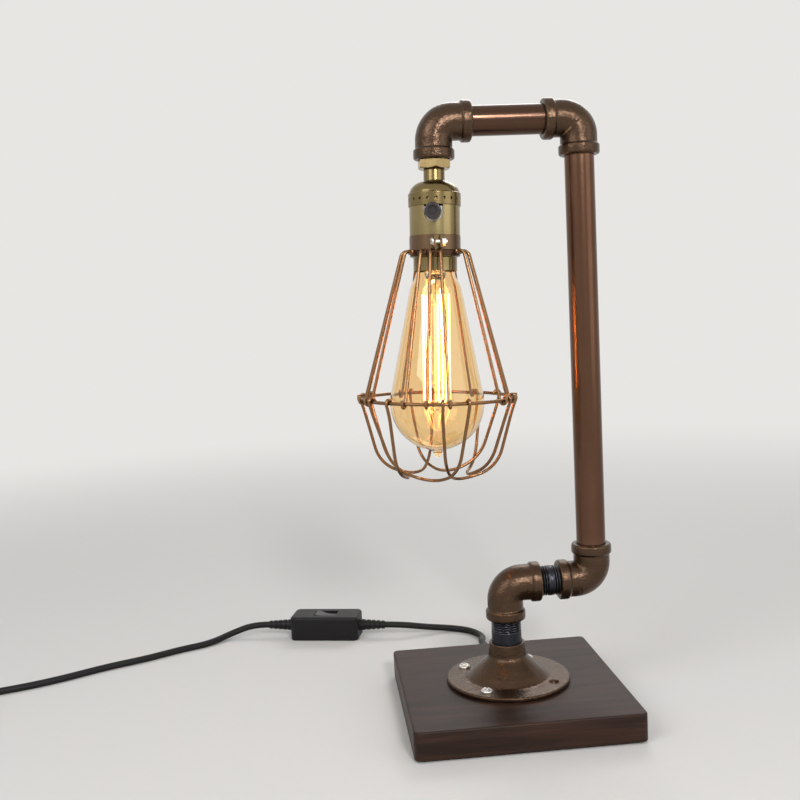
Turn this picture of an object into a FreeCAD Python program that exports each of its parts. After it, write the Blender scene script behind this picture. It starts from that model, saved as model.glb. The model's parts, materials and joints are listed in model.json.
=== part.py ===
import FreeCAD, Part
import math
import os

import Sketcher

# Industrial pipe table lamp, in millimetres.
# The origin is the middle of the underside, X runs along the arm away from the bulb, Y runs
# to the rear of the base and Z is up. Every driving size is a named cell of the sheet, and
# every turned, swept or padded piece is bound to those cells by expressions.

Vector = FreeCAD.Vector
doc = FreeCAD.newDocument("PipeLamp")
sheet = doc.addObject("Spreadsheet::Sheet", "Sizes")

SIZES = [
    # base
    ("base_width", 153.0, "square board, edge to edge"),
    ("board_thick", 19.05, "three-quarter inch board"),
    ("felt_thick", 1.5, "felt under the board"),
    ("felt_margin", 3.0, "felt stops short of the board's edge"),
    ("corner_round", 4.0, "upright corners of the board"),
    ("edge_round", 1.2, "upper and lower edges of the board"),
    ("board_top", "felt_thick+board_thick", "upper face of the board"),
    ("well_r", 15.0, "wiring well under the board"),
    ("well_depth", 12.0, "depth of the wiring well"),
    ("riser_r", 9.0, "hole from the well up to the flange"),
    ("cord_r", 2.75, "round mains cord"),
    ("cord_height", 10.0, "cord hole in the rear face, above the table"),
    ("cord_hole_r", "cord_r+0.35", "cord hole through the board"),
    ("gland_r", 6.5, "collar of the cord bush"),
    ("gland_collar", 2.0, "thickness of that collar"),
    ("gland_spigot_r", 4.4, "spigot of the cord bush"),
    ("gland_spigot", 8.0, "length of the spigot"),
    ("relief_root_r", 5.0, "thick end of a strain relief"),
    ("relief_tip_r", 3.5, "thin end of a strain relief"),
    ("relief_length", 22.0, "length of a strain relief"),
    ("fit", 0.05, "radial play of threaded and turned seats"),
    # flange
    ("flange_r", 43.7, "rim of the floor flange"),
    ("flange_plate", 3.4, "thickness of its plate"),
    ("flange_bore_r", 12.0, "open middle of the flange, below the thread"),
    ("hub_foot_r", 27.5, "foot of the flange's cone"),
    ("hub_neck_r", 13.2, "top of the flange's cone"),
    ("hub_neck_z", 42.5, "height of the top of the cone"),
    ("boss_r", 12.4, "upright boss over the cone"),
    ("boss_top", 48.7, "upper face of the boss"),
    ("thread_floor", 35.5, "bottom of the flange's thread"),
    ("screw_ring_r", 35.0, "circle of the four flange screws"),
    ("screw_bearing", -36.0, "direction of the hole without a screw, degrees"),
    ("screw_hole_r", 2.3, "hole for a flange screw"),
    ("screw_sink_r", 3.8, "mouth of that hole's countersink"),
    ("screw_shank_r", 1.9, "shank of a flange screw"),
    ("screw_head_r", 4.1, "head of a flange screw"),
    ("screw_head", 2.6, "height of that head"),
    ("screw_length", 14.0, "shank in the board"),
    # pipes and fittings
    ("nipple_r", 10.65, "outside of a half-inch threaded nipple"),
    ("nipple_bore_r", 7.9, "bore of a nipple"),
    ("tube_r", 10.2, "outside of the smooth pipes"),
    ("tube_bore_r", 8.2, "bore of the smooth pipes"),
    ("elbow_r", 12.7, "body of an elbow"),
    ("elbow_bore_r", 8.0, "waterway of an elbow"),
    ("elbow_bend", 18.5, "bend of an elbow's middle line"),
    ("elbow_reach", 25.2, "middle of an elbow to its face"),
    ("bead_r", 14.05, "band round an elbow's mouth"),
    ("bead_length", 7.0, "width of that band"),
    ("bead_round", 1.9, "rounding of the band"),
    ("socket_depth", 12.6, "pipe seat in an elbow's mouth"),
    ("end_gap", 0.3, "a pipe's end stands off the seat's floor"),
    ("elbow_height", 90.4, "middle of the two lower elbows"),
    ("offset_length", 63.6, "flange's line to the column's line"),
    ("arm_height", 412.5, "middle line of the arm"),
    ("arm_length", 100.0, "column's line to the head's line"),
    ("head_x", "offset_length-arm_length", "head's line at the arm"),
    ("drop_lean", 1.8, "the drop elbow's mouth leans outwards, degrees"),
    ("seat_depth", "socket_depth-end_gap", "pipe length inside an elbow"),
    # bushing and nipple of the lampholder
    ("hex_flats", 20.5, "bushing's hexagon across flats"),
    ("hex_height", 6.1, "height of the hexagon"),
    ("hex_top", "elbow_reach+0.05", "hexagon's upper face, below the arm"),
    ("bush_spigot", 11.0, "bushing's thread inside the elbow"),
    ("bush_spigot_r", "nipple_r-0.05", "outside of that thread"),
    ("rod_r", 4.9, "hollow ten-millimetre rod"),
    ("rod_bore_r", 3.6, "bore of that rod"),
    ("rod_top", 15.0, "upper end of the rod, below the arm"),
    ("rod_end", 50.0, "lower end of the rod"),
    # lampholder, depths below the arm
    ("cap_neck_r", 7.2, "neck of the lampholder's cap"),
    ("cap_neck_top", "hex_top+hex_height+0.05", "neck starts"),
    ("cap_neck_end", 39.2, "neck ends and the dome starts"),
    ("dome_r", 17.6, "foot of the dome"),
    ("dome_end", 47.8, "dome ends"),
    ("dome_bow", 10.6, "roundness of the dome"),
    ("band_r", 18.0, "band of the cap"),
    ("band_end", 56.6, "band ends"),
    ("brass_thick", 0.65, "wall of the cap and shell"),
    ("vent_depth", 52.3, "row of vent holes"),
    ("vent_r", 0.85, "one vent hole"),
    ("vent_count", 20, "vent holes round the band"),
    ("shell_r", 17.25, "upper shell"),
    ("shell_top", 55.4, "upper shell starts inside the band"),
    ("shell_step", 76.4, "upper shell ends"),
    ("waist_r", 16.3, "shell under the cage's collar"),
    ("waist_end", 90.6, "that part ends"),
    ("skirt_r", 15.0, "lower skirt of the shell"),
    ("skirt_end", 100.1, "mouth of the lampholder"),
    ("key_depth", 61.6, "middle of the key, below the arm"),
    ("key_bearing", -10.0, "key turned from straight forward, degrees"),
    ("slot_r", 6.4, "half width of the slot for the key"),
    ("liner_r", 16.4, "insulating sleeve, outside"),
    ("liner_thick", 0.4, "its wall"),
    ("liner_low_r", 14.2, "its lower part, outside"),
    ("block_r", 15.8, "switch block"),
    ("block_top", 57.6, "its upper face"),
    ("block_end", 71.5, "its lower face"),
    ("sleeve_r", 13.75, "screw shell, outside"),
    ("sleeve_thick", 0.4, "its wall"),
    ("sleeve_end", 97.0, "its mouth"),
    ("contact_r", 3.4, "centre contact"),
    ("contact_end", 72.9, "where it meets the bulb"),
    ("terminal_r", 1.9, "terminal screws"),
    ("terminal_ring_r", 10.5, "their distance from the middle"),
    # key
    ("stem_r", 1.7, "key stem"),
    ("stem_root", 9.0, "its inner end, from the middle"),
    ("stem_end", 25.0, "its outer end"),
    ("knob_r", 5.5, "key knob"),
    ("knob_root", 19.2, "inner face of the knob"),
    ("knob_end", 27.0, "outer face of the knob"),
    ("knob_dish_r", 3.3, "recess in the knob"),
    ("knob_dish", 2.4, "its depth"),
    # cage, depths below the arm
    ("collar_r", 17.55, "cage collar, outside"),
    ("collar_top", 76.7, "its upper edge"),
    ("collar_end", 86.3, "its lower edge"),
    ("collar_bearing", -2.3, "its ears turned from straight forward, degrees"),
    ("ear_reach", 23.6, "ears, from the middle"),
    ("ear_thick", 1.4, "one ear"),
    ("ear_gap", 3.0, "gap between the ears"),
    ("clamp_y", 20.9, "clamp screw, from the middle"),
    ("clamp_depth", 81.5, "clamp screw, below the arm"),
    ("clamp_r", 1.5, "clamp screw"),
    ("clamp_head_r", 2.9, "its head"),
    ("clamp_head", 2.0, "height of its head"),
    ("nut_flats", 5.5, "clamp nut across flats"),
    ("nut_thick", 2.3, "clamp nut"),
    ("neck_ring_r", 17.3, "ring that the wires are brazed to"),
    ("neck_ring_end", 90.4, "its lower edge"),
    ("wire_r", 1.1, "cage wire"),
    ("ring_wire_r", 1.2, "wire of the waist ring"),
    ("ring_r", 52.1, "waist ring, middle line"),
    ("ring_depth", 187.2, "waist ring, below the arm"),
    ("hook_play", 0.08, "play between a hook and the ring"),
    ("hook_r", "ring_wire_r+wire_r+hook_play", "a hook's middle line round the ring"),
    ("wire_top", 86.8, "wires leave the neck ring"),
    ("wire_root_r", 17.75, "wires start"),
    ("shoulder_r", 4.0, "bend of a wire's shoulder"),
    ("wire_slope", 75.0, "slope of a wire, degrees"),
    ("hook_turn", 92.0, "direction of a hook's tip, degrees"),
    ("hook_tip", 2.6, "straight tip of a hook"),
    ("leg_foot_x", "ring_r-hook_r*sin(wire_slope*1deg)", "wire meets its hook"),
    ("leg_foot_z", "-ring_depth-hook_r*cos(wire_slope*1deg)", "wire meets its hook"),
    ("leg_head_z", "-wire_top-shoulder_r*(1-cos(wire_slope*1deg))", "wire leaves its shoulder"),
    ("leg_run", "(leg_head_z-leg_foot_z)/tan(wire_slope*1deg)", "wire's reach outwards"),
    ("leg_head_x", "leg_foot_x-leg_run", "wire leaves its shoulder"),
    ("shoulder_x", "leg_head_x-shoulder_r*sin(wire_slope*1deg)", "shoulder starts"),
    ("loop_count", 6, "loops of the basket"),
    ("loop_spread", 39.4, "half the angle between a loop's hooks"),
    ("loop_bearing", -16.8, "first loop, from the front, degrees"),
    ("loop_hook_lean", 18.5, "slope of a loop's legs, degrees"),
    ("loop_straight", 9.0, "straight stretch below a loop's hook"),
    ("knee_r", 40.0, "corner of a loop's knee, from the middle"),
    ("knee_drop", 47.0, "that corner, below the ring"),
    ("knee_spread", 35.5, "half the angle between the knees"),
    ("toe_r", 18.0, "corner of a loop's toe, from the middle"),
    ("toe_drop", 56.7, "that corner, below the ring"),
    ("weave", 2.0, "loops pass over and under each other"),
    ("front_bearing", 262.7, "direction that the cage's front faces, degrees"),
    # bulb, depths below the arm
    ("bulb_r", 32.8, "glass at its widest"),
    ("bulb_below_ring", 3.8, "widest part of the bulb, below the waist ring"),
    ("bulb_depth", "ring_depth+bulb_below_ring", "widest part"),
    ("bulb_slope", 11.2, "slope of the glass, degrees"),
    ("bulb_wall", 0.9, "glass thickness"),
    ("bulb_neck_r", 12.9, "neck inside the lampholder"),
    ("bulb_neck_top", 99.2, "glass starts"),
    ("bulb_collar_r", 13.7, "glass at the lampholder's mouth"),
    ("bulb_collar", 103.2, "depth of that place"),
    ("bulb_shoulder", 111.0, "slope starts"),
    ("pip_r", 7.0, "tip of the bulb at its root"),
    ("pip_end_r", 1.6, "tip of the bulb at its end"),
    ("pip_drop", 4.8, "tip of the bulb, below its round"),
    ("pip_end", "bulb_depth+bulb_r+pip_drop", "lowest point of the bulb"),
    ("cap_r", 13.1, "screw cap of the bulb"),
    ("cap_top", 76.6, "screw cap starts"),
    ("cap_end", 99.0, "screw cap ends"),
    ("cap_wall", 0.4, "brass of the screw cap"),
    ("button_r", 4.6, "contact of the bulb"),
    ("button_top", 73.0, "where it meets the holder's contact"),
    ("button_end", 73.8, "contact ends"),
    ("stem_foot_r", 8.6, "glass stem at the neck"),
    ("mast_r", 1.7, "glass rod of the stem"),
    ("mast_past", 7.0, "rod goes on below the widest part"),
    ("mast_end", "bulb_depth+mast_past", "end of the rod"),
    ("filament_ring_r", 8.8, "filament strands, from the middle"),
    ("filament_gap", 5.2, "between the strands of a pair"),
    ("filament_r", 0.5, "one strand"),
    ("filament_top", 116.0, "strands start"),
    ("filament_short", 3.5, "strands end above the widest part"),
    ("filament_end", "bulb_depth-filament_short", "strands end"),
    ("filament_pairs", 5, "pairs of strands"),
    ("hook_wire_r", 0.3, "support wires of the filament"),
    # cord switch
    ("switch_x", -127.5, "middle of the cord switch"),
    ("switch_y", 184.5, "middle of the cord switch"),
    ("switch_bearing", -13.4, "direction of the cord switch, degrees"),
    ("switch_length", 61.0, "length of the cord switch"),
    ("switch_width", 28.0, "width of the cord switch"),
    ("switch_split", 10.4, "joint between its halves"),
    ("switch_top", 21.0, "its upper face"),
    ("switch_corner", 5.0, "its upright corners"),
    ("switch_edge", 2.4, "its upper and lower edges"),
    ("switch_wall", 2.0, "its walls"),
    ("rocker_length", 19.0, "rocker"),
    ("rocker_width", 12.0, "rocker"),
    ("rocker_play", 0.6, "window round the rocker"),
    ("pivot_height", 17.6, "rocker's pin above the table"),
    ("pivot_r", 1.0, "rocker's pin"),
    ("pivot_end", 1.3, "pin beyond the rocker's side"),
    ("rocker_tilt", 7.0, "rocker at rest, degrees"),
    # plug
    ("plug_length", 36.0, "plug body"),
    ("plug_width", 35.3, "plug body at its face"),
    ("plug_height", 13.7, "plug body"),
    ("pin_r", 2.0, "plug pin"),
    ("pin_length", 19.0, "plug pin beyond the face"),
    ("pin_root", 6.0, "plug pin inside the body"),
    ("pin_root_r", 1.6, "plug pin inside the body"),
    ("pin_pitch", 19.0, "between the pins"),
    # coil
    ("coil_first_r", 39.0, "first half turn of the coil"),
    ("coil_pitch", 6.3, "between neighbouring turns"),
    ("coil_rise", 6.1, "between the layers"),
    ("coil_halves", 5, "half turns of the lower layer"),
]


def fill_sheet():
    """Write every size into the sheet, with its note, and give the cell its name."""
    known = []
    for row, (name, size, note) in enumerate(SIZES, start=1):
        cell = "B%d" % row
        sheet.set("A%d" % row, name)
        sheet.set("C%d" % row, note)
        sheet.set(cell, "=" + size if isinstance(size, str) else str(size))
        sheet.setAlias(cell, name)
        known.append(name)
    doc.recompute()
    return known


NAMES = fill_sheet()


def named(text):
    """Return an expression in which each size's name points into the sheet."""
    out = []
    word = ""
    for letter in str(text) + " ":
        if letter.isalnum() or letter == "_":
            word += letter
            continue
        if word in NAMES:
            word = "Sizes." + word
        out.append(word + letter)
        word = ""
    return "".join(out).strip()


def number(text):
    """Return the present value of an expression in the sheet's names."""
    return float(sheet.evalExpression(named(text)))


def at(x="0", y="0", z="0", axis=None, angle="0"):
    """Return a placement expression: a shift, and a turn about one axis."""
    turn = axis or (0, 0, 1)
    return named("placement(vector(%s;%s;%s);rotation(vector(%d;%d;%d);%s))" % (x, y, z, *turn, angle))


STAND = at()
MAST = at("offset_length")
HEAD_SQUARE = at("head_x", "0", "arm_height")
HEAD = at("head_x", "0", "arm_height", (0, 1, 0), "drop_lean")
KEY = HEAD + "*" + at(angle="key_bearing")
COLLAR = HEAD + "*" + at(angle="collar_bearing")
SWITCH = at("switch_x", "switch_y", angle="switch_bearing")


def short_arc(start, end, radius, side):
    """Return the short arc between two points whose centre lies on that side of the travel."""
    chord = end.sub(start)
    half = chord.Length / 2
    left = Vector(-chord.y, chord.x, 0).normalize()
    away = math.sqrt(max(radius * radius - half * half, 0))
    centre = start.add(chord * 0.5).add(left * (away if side == "left" else -away))
    first, last = (start, end) if side == "left" else (end, start)
    low = math.atan2(first.y - centre.y, first.x - centre.x)
    high = math.atan2(last.y - centre.y, last.x - centre.x)
    if high < low:
        high += 2 * math.pi
    return Part.ArcOfCircle(Part.Circle(centre, Vector(0, 0, 1), radius), low, high)


class Piece:
    """One separate piece of the lamp: a body with its own name and place."""

    def __init__(self, name, seat=STAND):
        self.body = doc.addObject("PartDesign::Body", name)
        self.body.Label = name
        self.body.setExpression("Placement", seat)
        self.planes = {o.Role: o for o in self.body.Origin.OriginFeatures if hasattr(o, "Role")}

    def sketch(self, plane, lift="0", turn="0"):
        """Add a sketch on one of the body's own planes, lifted along its normal and turned in it."""
        made = self.body.newObject("Sketcher::SketchObject", self.body.Label + "_outline")
        made.AttachmentSupport = [(self.planes[plane + "_Plane"], "")]
        made.MapMode = "FlatFace"
        made.setExpression("AttachmentOffset", at("0", "0", lift, (0, 0, 1), turn))
        return made

    def outline(self, plane, corners, lift="0", turn="0", closed=True):
        """Draw straight and round stretches through the corners, each corner bound to the sheet.

        A corner is (x, y), or (x, y, radius, side) where an arc leaves it for the next corner
        and bends to that side.
        """
        made = self.sketch(plane, lift, turn)
        spots = [Vector(number(c[0]), number(c[1]), 0) for c in corners]
        count = len(spots) if closed else len(spots) - 1
        ends = []
        for i in range(count):
            start = spots[i]
            end = spots[(i + 1) % len(spots)]
            if len(corners[i]) == 2:
                made.addGeometry(Part.LineSegment(start, end))
                ends.append((1, 2))
                continue
            side = corners[i][3]
            made.addGeometry(short_arc(start, end, number(corners[i][2]), side))
            ends.append((1, 2) if side == "left" else (2, 1))
        joints = count if closed else count - 1
        for i in range(joints):
            after = (i + 1) % count
            made.addConstraint(Sketcher.Constraint("Coincident", i, ends[i][1], after, ends[after][0]))
        for i, corner in enumerate(corners):
            edge, end = (i, ends[i][0]) if i < count else (count - 1, ends[-1][1])
            self.pin_down(made, edge, end, corner, spots[i])
            if len(corner) > 2 and i < count:
                key = made.addConstraint(Sketcher.Constraint("Radius", i, number(corner[2])))
                made.setExpression("Constraints[%d]" % key, named(corner[2]))
        return made

    @staticmethod
    def pin_down(made, edge, end, corner, spot):
        """Fix one point of a sketch by its distances from the sketch's origin."""
        for kind, text, size in (("DistanceX", corner[0], spot.x), ("DistanceY", corner[1], spot.y)):
            key = made.addConstraint(Sketcher.Constraint(kind, edge, end, size))
            made.setExpression("Constraints[%d]" % key, named(text))

    def circle(self, plane, radius, x="0", y="0", lift="0"):
        """Draw a circle, its middle and radius bound to the sheet."""
        made = self.sketch(plane, lift)
        middle = Vector(number(x), number(y), 0)
        made.addGeometry(Part.Circle(middle, Vector(0, 0, 1), number(radius)))
        self.pin_down(made, 0, 3, (x, y), middle)
        key = made.addConstraint(Sketcher.Constraint("Radius", 0, number(radius)))
        made.setExpression("Constraints[%d]" % key, named(radius))
        return made

    def feature(self, kind, profile, **settings):
        """Add a feature to the body and recompute it."""
        made = self.body.newObject("PartDesign::" + kind, self.body.Label + "_" + kind.lower())
        made.Profile = profile
        for key, setting in settings.items():
            if key == "Length" or key == "Angle":
                made.setExpression(key, named(setting))
            else:
                setattr(made, key, setting)
        doc.recompute()
        return made

    def turned(self, corners, kind="Revolution", axis="V_Axis", turn="0", lift="0"):
        """Revolve an outline drawn in the XZ plane about one of the sketch's axes."""
        profile = self.outline("XZ", corners, lift=lift, turn=turn)
        return self.feature(kind, profile, ReferenceAxis=(profile, [axis]), Angle="360")

    def pad(self, profile, length, back=False):
        """Pad a sketch by a length, along or against its normal."""
        return self.feature("Pad", profile, Length=length, Reversed=back)

    def cut(self, profile, length, along=False):
        """Cut a pocket behind the sketch, or in front of it."""
        return self.feature("Pocket", profile, Length=length, Reversed=along)

    def swept(self, profile, path, kind="AdditivePipe"):
        """Carry a profile along every edge of a path."""
        edges = ["Edge%d" % (i + 1) for i in range(len(path.Geometry))]
        return self.feature(kind, profile, Spine=(path, edges))

    def ring_of(self, features, count, angle="360"):
        """Repeat features about the body's upright axis."""
        pattern = self.body.newObject("PartDesign::PolarPattern", self.body.Label + "_pattern")
        pattern.Originals = features
        axis = [o for o in self.body.Origin.OriginFeatures if getattr(o, "Role", "") == "Z_Axis"][0]
        pattern.Axis = (axis, [""])
        pattern.setExpression("Angle", named(angle))
        pattern.setExpression("Occurrences", named(count))
        self.body.Tip = pattern
        doc.recompute()
        return pattern

    def edges_where(self, test):
        """Name the edges of the latest shape whose middle point passes the test."""
        found = []
        for i, edge in enumerate(self.body.Tip.Shape.Edges, start=1):
            middle = edge.valueAt((edge.FirstParameter + edge.LastParameter) / 2)
            if test(edge, middle):
                found.append("Edge%d" % i)
        return found

    def rounded(self, radius, test):
        """Round the edges that pass the test."""
        before = self.body.Tip
        names = self.edges_where(test)
        made = self.body.newObject("PartDesign::Fillet", self.body.Label + "_rounding")
        made.Base = (before, names)
        made.setExpression("Radius", named(radius))
        self.body.Tip = made
        doc.recompute()
        return made


def tube(name, seat, outer, inner, low, high):
    """Turn a plain tube from one height to another."""
    piece = Piece(name, seat)
    piece.turned([(inner, low), (outer, low), (outer, high), (inner, high)])
    return piece


def box_sketch(piece, half_x, half_y, lift="0", x="0", y="0", plane="XY"):
    """Draw a rectangle about a middle point."""
    right = "%s+%s" % (x, half_x)
    left = "%s-(%s)" % (x, half_x)
    front = "%s-(%s)" % (y, half_y)
    rear = "%s+%s" % (y, half_y)
    return piece.outline(plane, [(left, front), (right, front), (right, rear), (left, rear)], lift=lift)


def is_upright(edge, middle):
    """Tell whether an edge runs straight up."""
    ends = edge.Vertexes
    flat = len(ends) == 2 and abs(ends[0].X - ends[1].X) < 1e-6 and abs(ends[0].Y - ends[1].Y) < 1e-6
    return flat and abs(ends[0].Z - ends[1].Z) > 1e-6


# base


def make_base():
    """Make the board with its wiring well and cord hole, the felt and the cord bush."""
    block = Piece("base_block")
    block.pad(box_sketch(block, "base_width/2", "base_width/2", "felt_thick"), "board_thick")
    block.rounded("corner_round", is_upright)
    top = number("board_top")
    low = number("felt_thick")
    block.rounded("edge_round", lambda e, m: min(abs(m.z - top), abs(m.z - low)) < 1e-6)
    block.cut(block.circle("XY", "well_r", lift="felt_thick+well_depth"), "well_depth+1")
    block.cut(block.circle("XY", "riser_r", lift="board_top"), "board_thick")
    block.cut(block.circle("XZ", "cord_hole_r", y="cord_height"), "base_width")
    rear = block.circle("XZ", "gland_spigot_r+fit", y="cord_height", lift="-(base_width/2-gland_spigot)")
    block.cut(rear, "base_width")
    hole = block.circle("XY", "screw_shank_r+fit", "screw_ring_r*cos(screw_bearing*1deg)",
                        "screw_ring_r*sin(screw_bearing*1deg)", "board_top")
    block.ring_of([block.cut(hole, "screw_length+1")], "4")

    felt = Piece("base_felt")
    felt.pad(box_sketch(felt, "base_width/2-felt_margin", "base_width/2-felt_margin"), "felt_thick")
    felt.rounded("corner_round", is_upright)

    gland = Piece("base_gland", at("0", "base_width/2", "cord_height", (1, 0, 0), "-90"))
    bore = "cord_r+fit"
    tip = "gland_collar+relief_length"
    gland.turned([(bore, "-gland_spigot"), ("gland_spigot_r", "-gland_spigot"), ("gland_spigot_r", "0"),
                  ("gland_r", "0"), ("gland_r", "gland_collar*0.5"), ("gland_r-gland_collar*0.5", "gland_collar"),
                  ("relief_root_r", "gland_collar"), ("relief_tip_r", tip), (bore, tip)])


def make_flange():
    """Make the floor flange with its four holes, the three screws and the upright nipple."""
    foot = "board_top"
    plate = "board_top+flange_plate"
    seat = "nipple_r+fit"
    flange = Piece("floor_flange")
    flange.turned([
        ("flange_bore_r", foot), ("flange_r-0.9", foot), ("flange_r", foot + "+0.9"),
        ("flange_r", plate + "-1.1", "1.1", "left"), ("flange_r-1.1", plate),
        ("hub_foot_r+2.4", plate, "3.2", "right"), ("hub_foot_r", plate + "+1.0"),
        ("hub_neck_r+1.1", "hub_neck_z-1.4", "3.0", "right"), ("boss_r", "hub_neck_z+1.3"),
        ("boss_r", "boss_top-0.8"), ("boss_r-0.8", "boss_top"), (seat, "boss_top"),
        (seat, "thread_floor"), ("flange_bore_r", "thread_floor-1.5")])
    out = "screw_ring_r*cos(screw_bearing*1deg)"
    aside = "screw_ring_r*sin(screw_bearing*1deg)"
    through = flange.cut(flange.circle("XY", "screw_hole_r", out, aside, plate), "flange_plate+1")
    sunk = flange.feature("Pocket", flange.circle("XY", "screw_sink_r", out, aside, plate),
                          Length="screw_sink_r-screw_hole_r", TaperAngle=-45.0)
    flange.ring_of([through, sunk], "4")

    screws = Piece("flange_screws", at(angle="screw_bearing+90"))
    head = screws.pad(screws.circle("XY", "screw_head_r", "screw_ring_r", lift=plate), "screw_head")
    top = number(plate + "+screw_head")
    dome = screws.rounded("screw_head*0.6", lambda e, m: abs(m.z - top) < 1e-6)
    shank = screws.pad(screws.circle("XY", "screw_shank_r", "screw_ring_r", lift=plate + "+0.5"),
                       "screw_length+flange_plate", back=True)
    screws.ring_of([head, dome, shank], "3", "180")

    tube("base_nipple", STAND, "nipple_r", "nipple_bore_r", "thread_floor+end_gap",
         "elbow_height-elbow_reach+seat_depth")


# elbows and pipes


def make_elbow(name, seat, side_seat, down_seat, lean="0"):
    """Make an elbow with one mouth along X and one downwards, which may lean a little.

    The body follows a bend that touches both middle lines, each mouth has a rounded band and
    a seat for its pipe, and the seats' radii are given separately.
    """
    elbow = Piece(name, seat)
    touch = "elbow_bend*tan((90-%s)*0.5deg)" % lean
    sine = "sin(%s*1deg)" % lean
    cosine = "cos(%s*1deg)" % lean

    def bend_path(reach):
        """Draw the middle line from one mouth to the other."""
        return elbow.outline("XZ", [
            (reach, "0"), (touch, "0", "elbow_bend", "left"),
            ("-(%s)*%s" % (touch, sine), "-(%s)*%s" % (touch, cosine)),
            ("-(%s)*%s" % (reach, sine), "-(%s)*%s" % (reach, cosine))], closed=False)

    inner = "elbow_reach-0.5"
    elbow.swept(elbow.circle("YZ", "elbow_r", lift=inner), bend_path(inner))
    low = "elbow_r-3"
    start = "elbow_reach-bead_length"
    side_band = [(start, low), ("elbow_reach", low), ("elbow_reach", "bead_r-bead_round", "bead_round", "left"),
                 ("elbow_reach-bead_round", "bead_r"), (start + "+bead_round", "bead_r", "bead_round", "left"),
                 (start, "bead_r-bead_round")]
    elbow.turned(side_band, axis="H_Axis")
    down_band = [(low, "-(%s)" % start), (low, "-elbow_reach"), ("bead_r-bead_round", "-elbow_reach", "bead_round", "left"),
                 ("bead_r", "-elbow_reach+bead_round"), ("bead_r", "-(%s)-bead_round" % start, "bead_round", "left"),
                 ("bead_r-bead_round", "-(%s)" % start)]
    lean_turn = "-(%s)" % lean
    elbow.turned(down_band, turn=lean_turn)
    elbow.swept(elbow.circle("YZ", "elbow_bore_r", lift="elbow_reach"), bend_path("elbow_reach"), "SubtractivePipe")
    floor = "elbow_reach-socket_depth"
    past = "elbow_reach+1"
    elbow.turned([(floor, "0"), (past, "0"), (past, side_seat), (floor, side_seat)], "Groove", "H_Axis")
    elbow.turned([("0", "-(%s)" % floor), ("0", "-(%s)" % past), (down_seat, "-(%s)" % past),
                  (down_seat, "-(%s)" % floor)], "Groove", turn=lean_turn)
    return elbow


def make_fittings():
    """Make the four elbows and the pipes between them."""
    nipple_seat = "nipple_r+fit"
    tube_seat = "tube_r+fit"
    over = (0, 1, 0)
    make_elbow("base_elbow", at(z="elbow_height"), nipple_seat, nipple_seat)
    make_elbow("column_elbow", at("offset_length", z="elbow_height", axis=over, angle="180"), nipple_seat, tube_seat)
    make_elbow("top_elbow", at("offset_length", z="arm_height", angle="180"), tube_seat, tube_seat)
    make_elbow("drop_elbow", HEAD_SQUARE, tube_seat, nipple_seat, "drop_lean")
    low = "elbow_reach-seat_depth"
    tube("offset_nipple", at(z="elbow_height", axis=over, angle="90"), "nipple_r", "nipple_bore_r",
         low, "offset_length-(%s)" % low)
    tube("column_pipe", MAST, "tube_r", "tube_bore_r", "elbow_height+" + low, "arm_height-(%s)" % low)
    tube("arm_pipe", at("head_x", z="arm_height", axis=over, angle="90"), "tube_r", "tube_bore_r",
         low, "arm_length-(%s)" % low)


# lampholder


def hexagon(piece, flats, lift, plane="XY", x="0", y="0"):
    """Draw a hexagon with flats across X, given its size across flats."""
    corners = []
    for i in range(6):
        turn = "(%d*60+30)*1deg" % i
        reach = "%s/2/cos(30*1deg)" % flats
        corners.append(("%s+%s*cos(%s)" % (x, reach, turn), "%s+%s*sin(%s)" % (y, reach, turn)))
    return piece.outline(plane, corners, lift=lift)


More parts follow.
